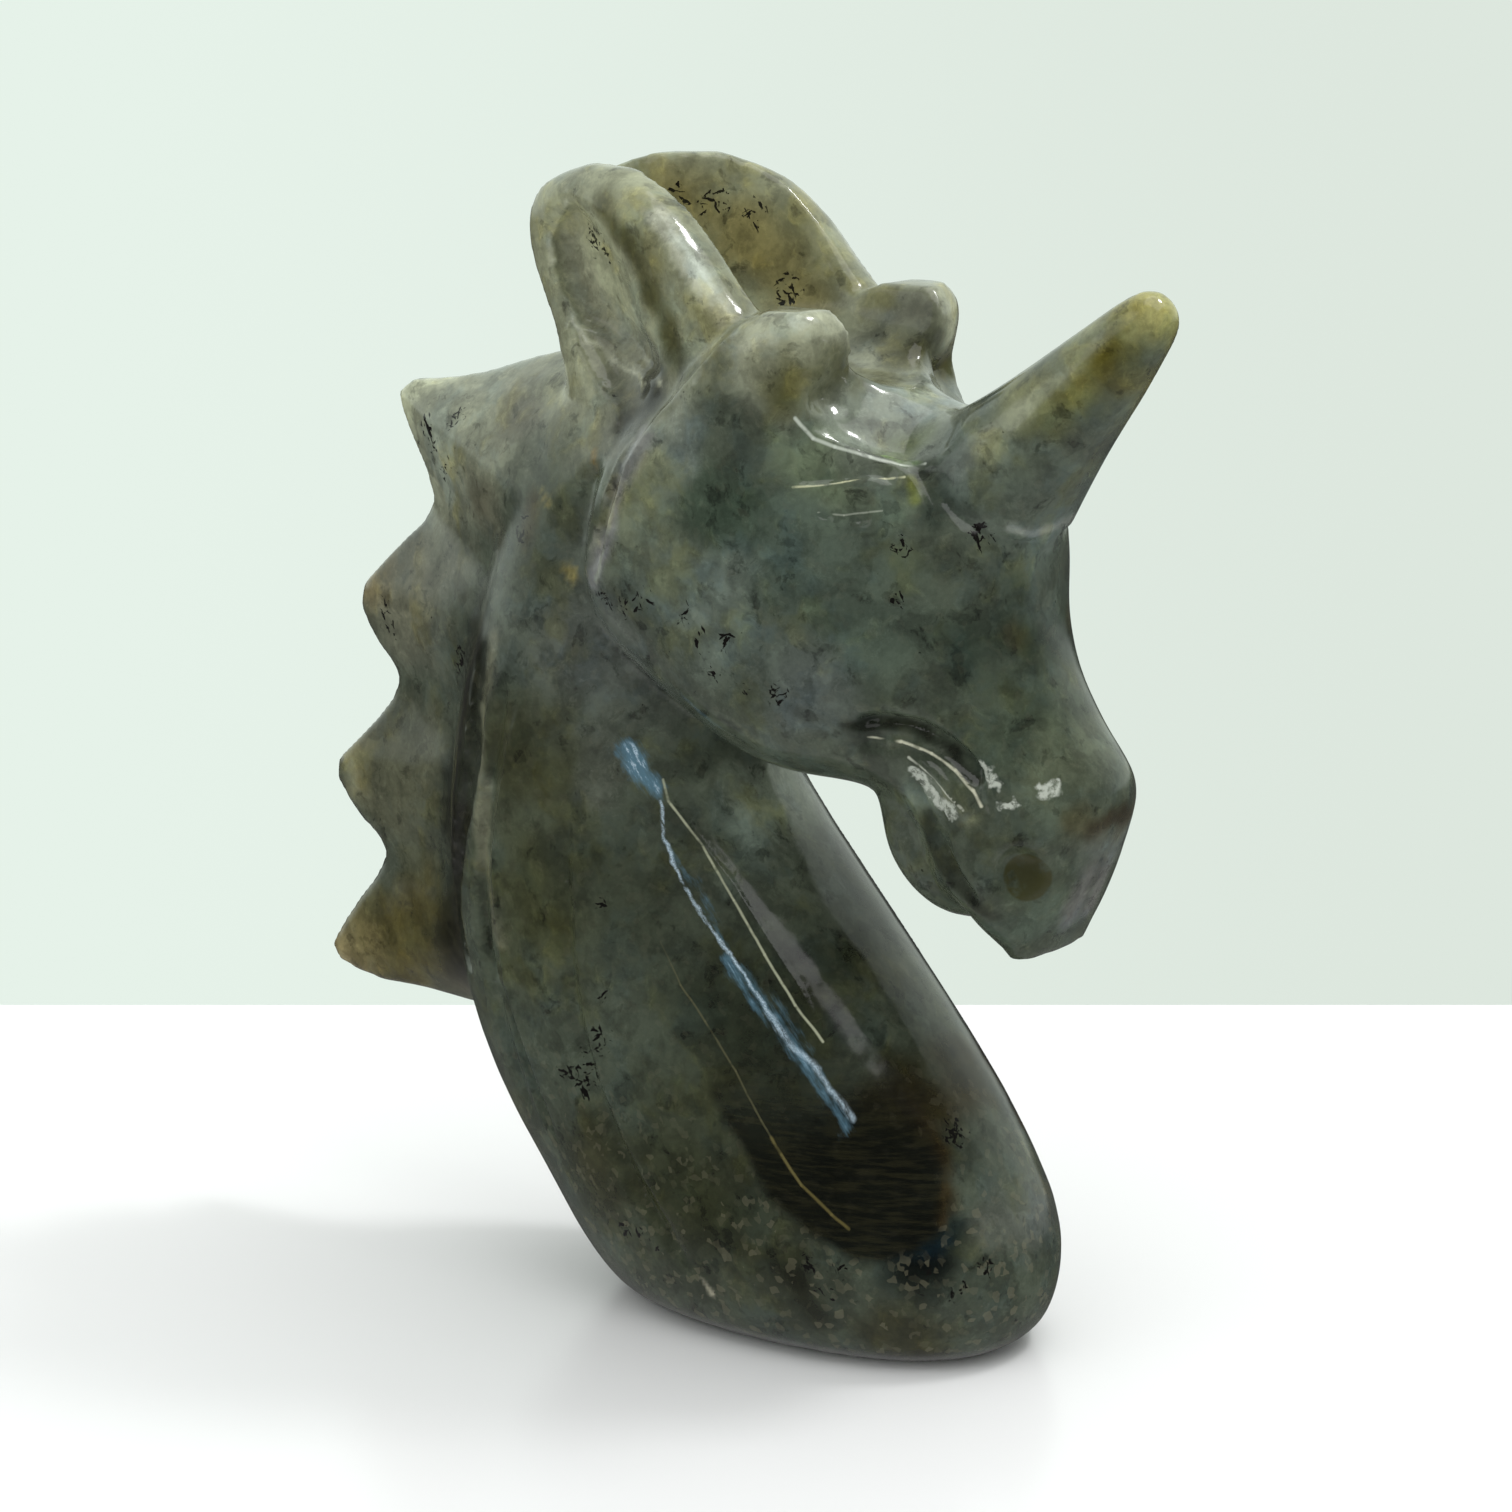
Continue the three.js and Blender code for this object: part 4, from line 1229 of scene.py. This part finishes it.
@dataclass(frozen=True)
class Labradorite:
    """The polished stone: grey-green, clouds, black inclusions, a blue flash, painted highlights and
    shade.

    Attributes:
        clouds: Its larger clouds, the deepest first, with a few painted shades and a painted reflection
            among them.
        streaks_and_painted_light: Its narrower marks and small patches, with painted shade, highlights
            and reflections among them.
        flashes: Where blue light lies along its neck: the stone's flash, painted together with a
            reflection of a window.
        flash_and_reflection_line: The bright line along that light, partly a painted reflection.
        cracks_and_painted_light: Its fine bright cracks, painted highlights on its lips, lids and brow,
            and painted shade in its nostril.
        painted_lip_highlights: The painted highlights in small chips on its lips.
        inclusions: Where black mineral branches through it.
        window: The rim of the clear dark zone low on the neck, as x and z.
        ground: The stone between its clouds.
        grain: Its pale feldspar grains.
        mineral: The black mineral.
        clear: The clear zone's depth.
        silk: The silky lines in the clear zone.
        haze: The blue light's soft part.
        flash_and_reflection: The blue light's bright part, partly a painted reflection.
        seed: What the clouds' uneven edges grow from.
        cloud_edge: The size and the depth of the clouds' uneven edges, in millimetres.
        streak_edge: The same of the streaks' edges.
        patch_sizes: The sizes of its pale patches, dark patches, wisps and fine grain.
        flake_size: The size of its small crystals.
        grain_size: The size of its feldspar grains.
        hair_size: How wide the blue light's threads are.
        silk_size: How wide the silky lines are.
        twig_size: How wide the black twigs are.
        twig_turns: Degrees that the black twigs are turned.
    """

    clouds: tuple[VeinOrPaintedLight, ...] = CLOUDS_AND_PAINTED_LIGHT
    streaks_and_painted_light: tuple[VeinOrPaintedLight, ...] = STREAKS_AND_PAINTED_LIGHT
    flashes: tuple[Zone, ...] = FLASHES
    flash_and_reflection_line: tuple[Zone, ...] = FLASH_AND_REFLECTION_LINE
    cracks_and_painted_light: tuple[VeinOrPaintedLight, ...] = CRACKS_AND_PAINTED_LIGHT
    painted_lip_highlights: tuple[VeinOrPaintedLight, ...] = PAINTED_LIP_HIGHLIGHTS
    inclusions: tuple[Zone, ...] = INCLUSIONS
    window: tuple[tuple[float, float], ...] = DARK_WINDOW
    ground: Colour = shown(82, 90, 76)
    grain: Colour = shown(122, 118, 96)
    mineral: Colour = shown(16, 15, 12)
    clear: Colour = shown(9, 11, 6)
    silk: Colour = shown(44, 42, 24)
    haze: Colour = shown(92, 130, 150)
    flash_and_reflection: Colour = shown(190, 212, 226)
    seed: int = 3
    cloud_edge: tuple[float, float] = (7.0, 2.6)
    streak_edge: tuple[float, float] = (2.5, 0.5)
    patch_sizes: tuple[float, float, float, float] = (3.4, 2.0, 1.3, 0.5)
    flake_size: float = 1.7
    grain_size: float = 0.55
    hair_size: float = 0.55
    silk_size: float = 0.35
    twig_size: float = 0.42
    twig_turns: tuple[float, ...] = (62, -38, 8)

    def stain(self, mesh: bpy.types.Mesh) -> None:
        """Writes the stone's large marks, with its painted shade, highlights and reflections, on the
        skin's points.

        Args:
            mesh: The skin's mesh.
        """
        noise.seed_set(self.seed)
        places = np.empty(len(mesh.vertices) * 3, np.float32)
        mesh.vertices.foreach_get("co", places)
        places = places.reshape(-1, 3).astype(float) / MM
        near = places * (1, -1, 1)
        near[:, 1] = -np.abs(places[:, 1])
        loose = places + self._moves(places, *self.cloud_edge)
        torn = near + self._moves(places, *self.streak_edge)
        # The body colour takes the larger and narrower marks, painted shade, highlights and reflections
        # among them.
        body = np.tile(np.array(self.ground), (len(places), 1))
        for vein_or_painted_light in self.clouds:
            body += (np.array(vein_or_painted_light.colour) - body) * vein_or_painted_light.zone.shares(loose)[:, None]
        for vein_or_painted_light in self.streaks_and_painted_light:
            body += (np.array(vein_or_painted_light.colour) - body) * vein_or_painted_light.zone.shares(torn)[:, None]
        self._write(mesh, "body", body)
        self._write(mesh, "black_mineral", self._strongest(self.inclusions, torn))
        self._write(mesh, "blue_light", self._strongest(self.flashes, torn))
        self._write(mesh, "window_depth", self._window_depth(near))

    @staticmethod
    def _strongest(zones: Sequence[Zone], places: np.ndarray) -> np.ndarray:
        """Gives how much of the strongest zone shows at each place."""
        return np.max([zone.shares(places) for zone in zones], 0)

    @staticmethod
    def _moves(places: np.ndarray, size: float, amount: float) -> np.ndarray:
        """Gives uneven moves for places, so that what is read there has uneven edges.

        Args:
            places: The places, in millimetres.
            size: The size of the unevenness.
            amount: About how far a place moves.

        Returns:
            The moves.
        """
        found = [noise.turbulence_vector(Vector(place) / size, 3, False) for place in places]
        return np.array(found) * amount

    @staticmethod
    def _write(mesh: bpy.types.Mesh, name: str, values: np.ndarray) -> None:
        """Writes a number or a colour on each of the skin's points.

        Args:
            mesh: The skin's mesh.
            name: What the shader reads it as.
            values: A number, or the four parts of a colour, for each point.
        """
        kind, key = ("FLOAT", "value") if values.ndim == 1 else ("FLOAT_COLOR", "color")
        mark = mesh.attributes.new(name, kind, "POINT")
        mark.data.foreach_set(key, values.astype(np.float32).ravel())

    def _window_depth(self, places: np.ndarray) -> np.ndarray:
        """Gives how far inside the clear zone's rim each place is.

        Args:
            places: The places on the near side, in millimetres.

        Returns:
            Millimetres from the rim, negative outside it.
        """
        flat = places[:, [0, 2]]
        corners = np.array(self.window)
        nearest = np.full(len(flat), np.inf)
        inside = np.zeros(len(flat), bool)
        for start, end in zip(corners, np.roll(corners, -1, 0)):
            line = end - start
            along = np.clip((flat - start) @ line / (line @ line), 0, 1)
            away = np.linalg.norm(flat - start - along[:, None] * line, axis=1)
            nearest = np.minimum(nearest, away)
            crosses = (start[1] > flat[:, 1]) != (end[1] > flat[:, 1])
            reach = start[0] + (flat[:, 1] - start[1]) * line[0] / line[1]
            inside ^= crosses & (flat[:, 0] < reach)
        return np.where(inside, nearest, -nearest)

    def material(self) -> bpy.types.Material:
        """Makes the stone's material.

        Returns:
            The material.
        """
        made = bpy.data.materials.new("labradorite")
        made.use_nodes = True
        graph = Graph(made.node_tree)
        place = Socket(graph, graph.node("ShaderNodeTexCoord").outputs["Object"])
        colour = graph.attribute("body", "Color")
        colour = self._mottled(graph, place, colour)
        colour = self._speckled(graph, place, colour)
        colour = self._windowed(graph, place, colour)
        colour = self._streaked(graph, place, colour)
        colour = graph.mix(colour, self.mineral, self._branches(graph, place))
        gloss = graph.noise(place, 5, 4, 0.6).ramp(0.3, 0.75, 0.08, 0.17)
        relief = graph.noise(place, 4.5, 2) + graph.noise(place, 0.6, 2) * 0.03
        bump = graph.node(
            "ShaderNodeBump", None, {"Strength": 0.3, "Distance": 0.0004, "Height": relief}
        )
        inputs = {
            "Base Color": colour,
            "Roughness": gloss,
            "IOR": 1.56,
            "Specular IOR Level": 0.5,
            "Normal": bump.outputs["Normal"],
        }
        shader = graph.node("ShaderNodeBsdfPrincipled", None, inputs)
        graph.node("ShaderNodeOutputMaterial", None, {"Surface": shader.outputs["BSDF"]})
        return made

    def _mottled(self, graph: Graph, place: Socket, colour: Socket) -> Socket:
        """Breaks the colour up into cloudy patches and grains, and paints thin stone lighter as a glow
        of light through it.

        Args:
            graph: The material's graph.
            place: The places, in metres.
            colour: The colour to break up.

        Returns:
            The mottled colour.
        """
        torn = graph.scatter(place, 2.6, 1.1, 3)
        pale_size, dark_size, wisp_size, fine_size = self.patch_sizes
        patch = graph.noise(torn, pale_size, 6, 0.66).ramp(0.42, 0.60)
        dark = graph.noise(torn, dark_size, 4, 0.62).ramp(0.58, 0.66)
        wisp = graph.noise(torn, wisp_size, 5, 0.7).ramp(0.54, 0.68)
        fine = graph.noise(place, fine_size, 3, 0.7)
        crystal, _ = graph.cells(graph.scatter(place, 1.4, 0.5, 3), self.flake_size, 0.4)
        flake = crystal.ramp(0.2, 0.85)
        level = patch * 0.26 + wisp * 0.22 + fine * 0.46 + flake * 0.2 - dark * 0.28 + 0.32
        light = graph.vector("SCALE", colour, scale=level)
        cool = graph.noise(torn, 4.1, 3, 0.6).ramp(0.48, 0.66)
        light = graph.mix(light, (0.94, 1.0, 1.10, 1.0), cool, "MULTIPLY")
        warm = graph.noise(torn, 5.2, 3, 0.6).ramp(0.52, 0.68)
        light = graph.mix(light, (1.06, 1.0, 0.78, 1.0), warm, "MULTIPLY")
        # Painted glow: thin stone is made lighter, as if light showed through it.
        thin = graph.attribute("thinness").ramp(0.35, 0.8, 0.0, 0.5)
        return graph.mix(light, graph.vector("SCALE", light, scale=1.5), thin)

    def _speckled(self, graph: Graph, place: Socket, colour: Socket) -> Socket:
        """Scatters pale feldspar grains, most of them low on the neck.

        Args:
            graph: The material's graph.
            place: The places, in metres.
            colour: The colour to scatter them on.

        Returns:
            The speckled colour.
        """
        draw, light = graph.cells(graph.scatter(place, 1.2, 0.4, 3), self.grain_size)
        chosen = draw.ramp(0.76, 0.82)
        low = graph.height(place).ramp(6 * MM, 26 * MM, 1.0, 0.16)
        strength = light.ramp(0.0, 1.0, 0.05, 0.36)
        return graph.mix(colour, self.grain, chosen * low * strength)

    def _windowed(self, graph: Graph, place: Socket, colour: Socket) -> Socket:
        """Lays in the clear dark zone low on the neck, with its silky brown lines.

        Args:
            graph: The material's graph.
            place: The places, in metres.
            colour: The colour round it.

        Returns:
            The colour with the dark zone.
        """
        depth = graph.attribute("window_depth") + (graph.noise(place, 2.2, 3) - 0.5) * 0.9
        inside = depth.ramp(-0.3, 1.0) * graph.height(place).ramp(16 * MM, 28 * MM, 0.93, 0.0)
        drawn = graph.node(
            "ShaderNodeMapping", None, {"Vector": place, "Scale": (0.12, 0.12, 1.0)}
        )
        silk = graph.noise(Socket(graph, drawn.outputs[0]), self.silk_size, 3, 0.6).ramp(0.42, 0.66)
        dark = graph.mix(self.clear, self.silk, silk * 0.5)
        return graph.mix(colour, dark, inside)

    def _streaked(self, graph: Graph, place: Socket, colour: Socket) -> Socket:
        """Lays the blue light with its painted reflection, the bright cracks, and painted highlights and
        shade over the colour.

        Args:
            graph: The material's graph.
            place: The places, in metres.
            colour: The colour underneath.

        Returns:
            The colour with its streaks.
        """
        near = graph.folded(place)
        # The blue light: the stone's flash, painted together with a reflection of a window.
        hair = graph.noise(graph.drawn_out(near, 51, 6), self.hair_size, 4, 0.7)
        blue = graph.attribute("blue_light")
        haze = (blue * 0.9 + (hair - 0.5) * 1.6).ramp(0.1, 0.95, 0.0, 0.85) * blue.ramp(0.0, 0.3)
        colour = graph.mix(colour, self.haze, haze)
        slightly = graph.scatter(near, 1.1, 0.34, 4)
        core: Socket | float = 0.0
        for zone in self.flash_and_reflection_line:
            core = zone.mask(graph, slightly).most(core)
        core = core.most(blue.ramp(0.5, 0.95) * hair.ramp(0.52, 0.62))
        sparks = graph.noise(near, 0.11, 2, 0.6).ramp(0.36, 0.60, 0.4, 1.0)
        colour = graph.mix(colour, self.flash_and_reflection, core * hair.ramp(0.30, 0.52) * sparks)
        broken = graph.noise(near, 1.4, 3, 0.6).ramp(0.3, 0.46, 0.35, 1.0)
        exact = graph.scatter(near, 3, 0.14, 2)
        # Fine bright cracks, painted highlights on the lips, lids and brow, and painted shade in the
        # nostril.
        for vein_or_painted_light in self.cracks_and_painted_light:
            colour = graph.mix(colour, vein_or_painted_light.colour, vein_or_painted_light.zone.mask(graph, exact) * broken)
        # Painted highlights on the lips.
        torn = graph.scatter(near, 0.9, 0.7, 2)
        sheen = graph.noise(near, 0.6, 3, 0.7).ramp(0.36, 0.58, 0.15, 1.0)
        for vein_or_painted_light in self.painted_lip_highlights:
            colour = graph.mix(colour, vein_or_painted_light.colour, vein_or_painted_light.zone.mask(graph, torn) * sheen)
        return colour

    def _branches(self, graph: Graph, place: Socket) -> Socket:
        """Gives where black mineral branches through the stone.

        Args:
            graph: The material's graph.
            place: The places, in metres.

        Returns:
            A number from 0 to 1.
        """
        zone = graph.attribute("black_mineral")
        torn = graph.scatter(place, 0.9, 0.3, 3)
        twigs: Socket | float = 0.0
        for turn in self.twig_turns:
            dash = graph.noise(graph.drawn_out(torn, turn, 4), self.twig_size, 2) + zone * 0.11
            twigs = dash.ramp(0.70, 0.74).most(twigs)
        dots = graph.noise(torn, 0.8, 2).ramp(0.77, 0.80)
        return (twigs * zone.ramp(0.1, 0.35)).most(dots * 0.7)


@dataclass(frozen=True)
class WhiteTable:
    """The table top's smooth white sheet.

    Attributes:
        tone: How light it is, from 0 to 1.
        roughness: How dull its gloss is.
        cloud_size: The size of its faint cooler clouds in millimetres.
    """

    tone: float = 0.94
    roughness: float = 0.22
    cloud_size: float = 90.0

    def material(self) -> bpy.types.Material:
        """Makes the table's material.

        Returns:
            The material.
        """
        made = bpy.data.materials.new("white_table")
        made.use_nodes = True
        graph = Graph(made.node_tree)
        place = Socket(graph, graph.node("ShaderNodeTexCoord").outputs["Object"])
        cloud = graph.noise(place, self.cloud_size, 2)
        light = (self.tone, self.tone, self.tone, 1.0)
        cool = (self.tone * 0.985, self.tone, self.tone * 0.995, 1.0)
        tone = graph.mix(light, cool, cloud)
        inputs = {"Base Color": tone, "Roughness": self.roughness, "IOR": 1.4}
        shader = graph.node("ShaderNodeBsdfPrincipled", None, inputs)
        graph.node("ShaderNodeOutputMaterial", None, {"Surface": shader.outputs["BSDF"]})
        return made


@dataclass(frozen=True)
class Panel:
    """A soft studio lamp that faces the carving.

    Attributes:
        name: The lamp's name.
        azimuth: Degrees round from -Y towards +X.
        elevation: Degrees above the table.
        distance: Metres from the carving.
        width: Metres across.
        height: Metres up and down.
        glow: How many times brighter than white its face is.
    """

    name: str
    azimuth: float
    elevation: float
    distance: float
    width: float
    height: float
    glow: float

    def hang(self) -> None:
        """Hangs the lamp in the scene."""
        lamp = bpy.data.lights.new(self.name, "AREA")
        lamp.shape = "RECTANGLE"
        lamp.size, lamp.size_y = self.width, self.height
        lamp.energy = self.glow * math.pi * self.width * self.height
        holder = bpy.data.objects.new(self.name, lamp)
        out = heading(self.azimuth, self.elevation)
        holder.location = Vector(VIEW_CENTRE) * MM + out * self.distance
        holder.rotation_mode = "QUATERNION"
        holder.rotation_quaternion = (-out).to_track_quat("-Z", "Y")
        bpy.context.scene.collection.objects.link(holder)


@dataclass
class Studio:
    """The table, the pale wall behind it, the lamps and the camera.

    Attributes:
        edge_behind: How far the table reaches behind the carving, in millimetres.
        edge_before: How far it reaches towards the camera.
        table_width: The table's width in millimetres.
        camera_distance: From the camera to the carving's middle.
        lens: The camera's focal length.
        wall_left: The wall's colour at the picture's left.
        wall_right: Its colour at the right.
        ambient: The soft light from all round.
        room: What the polished stone mirrors of the room.
        below: What it mirrors from below.
        panels: The lamps.
    """

    edge_behind: float = 78.5
    edge_before: float = 125.0
    table_width: float = 2400.0
    camera_distance: float = 380.0
    lens: float = 115.81
    wall_left: Colour = shown(230, 242, 233)
    wall_right: Colour = shown(221, 231, 222)
    ambient: Colour = (0.72, 0.73, 0.725, 1.0)
    room: Colour = (0.05, 0.05, 0.05, 1.0)
    below: Colour = (0.25, 0.25, 0.25, 1.0)
    panels: tuple[Panel, ...] = (
        Panel("key_lamp", 140, 60, 1.2, 0.2, 0.2, 25.0),
        Panel("top_lamp", 100, 76, 1.5, 1.6, 1.6, 1.25),
        Panel("side_lamp", -30, 30, 1.2, 0.8, 0.6, 0.5),
    )

    def build(self) -> None:
        """Makes the stage, hangs the lamps and sets up the camera."""
        self._table()
        self._wall()
        for panel in self.panels:
            panel.hang()
        self._camera()

    def _table(self) -> None:
        """Makes the table top, whose far edge runs square to the camera's view."""
        mesh = bpy.data.meshes.new("table_top")
        shape = bmesh.new()
        bmesh.ops.create_grid(shape, x_segments=1, y_segments=1, size=0.5)
        size = Vector((self.table_width, self.edge_behind + self.edge_before, 1)) * MM
        bmesh.ops.scale(shape, vec=size, verts=shape.verts)
        back = (self.edge_behind - self.edge_before) / 2 * MM
        bmesh.ops.translate(shape, vec=(0, back, 0), verts=shape.verts)
        turn = Matrix.Rotation(math.radians(CAMERA_AZIMUTH), 3, "Z")
        bmesh.ops.rotate(shape, cent=(0, 0, 0), matrix=turn, verts=shape.verts)
        bmesh.ops.translate(shape, vec=(VIEW_CENTRE[0] * MM, 0, 0), verts=shape.verts)
        shape.to_mesh(mesh)
        shape.free()
        table = bpy.data.objects.new("table_top", mesh)
        mesh.materials.append(WhiteTable().material())
        table.visible_glossy = False
        bpy.context.scene.collection.objects.link(table)

    def _wall(self) -> None:
        """Makes the pale wall beyond the table, and the room's soft light."""
        world = bpy.data.worlds.new("pale_wall")
        bpy.context.scene.world = world
        world.use_nodes = True
        graph = Graph(world.node_tree)
        way = Socket(graph, graph.node("ShaderNodeTexCoord").outputs["Generated"])
        turn = math.radians(CAMERA_AZIMUTH)
        right = graph.vector("DOT_PRODUCT", way, (math.cos(turn), math.sin(turn), 0.0))
        wall = graph.mix(self.wall_left, self.wall_right, right.ramp(-0.15, 0.15))
        behind = graph.vector("DOT_PRODUCT", way, (-math.sin(turn), math.cos(turn), 0.0))
        path = graph.node("ShaderNodeLightPath")
        camera = Socket(graph, path.outputs["Is Camera Ray"])
        through = Socket(graph, path.outputs["Is Transmission Ray"])
        glossy = Socket(graph, path.outputs["Is Glossy Ray"])
        height = graph.height(way)
        mirrored = glossy * behind.ramp(-0.3, 0.6) * height.ramp(-0.12, 0.02)
        seen = camera.most(through).most(mirrored)
        room = graph.mix(self.room, self.below, height.ramp(-0.3, -0.8))
        colour = graph.mix(graph.mix(self.ambient, room, glossy), wall, seen)
        sky = graph.node("ShaderNodeBackground", None, {"Color": colour, "Strength": 1.0})
        graph.node("ShaderNodeOutputWorld", None, {"Surface": sky.outputs[0]})

    def _camera(self) -> None:
        """Puts the camera where the photographer stood."""
        lens = bpy.data.cameras.new("camera")
        lens.sensor_width = 36.0
        lens.lens = self.lens
        lens.clip_start, lens.clip_end = 0.01, 20.0
        camera = bpy.data.objects.new("camera", lens)
        out = heading(CAMERA_AZIMUTH, CAMERA_ELEVATION)
        camera.location = (Vector(VIEW_CENTRE) + out * self.camera_distance) * MM
        camera.rotation_mode = "QUATERNION"
        camera.rotation_quaternion = (-out).to_track_quat("-Z", "Y")
        bpy.context.scene.collection.objects.link(camera)
        bpy.context.scene.camera = camera


def main() -> None:
    """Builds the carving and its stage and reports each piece."""
    logging.basicConfig(level=logging.INFO, format="%(name)s: %(message)s")
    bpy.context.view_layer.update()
    bpy.context.scene.view_settings.view_transform = "Standard"
    stone = StoneCarving()
    piece = stone.build()
    finish = Labradorite()
    finish.stain(piece.data)
    piece.data.materials.append(finish.material())
    LOG.info("%s: %d faces", piece.name, len(piece.data.polygons))
    studio = Studio()
    studio.build()
    LOG.info("stage: table, wall, %d lamps and camera", len(studio.panels))


if __name__ == "__main__":
    main()
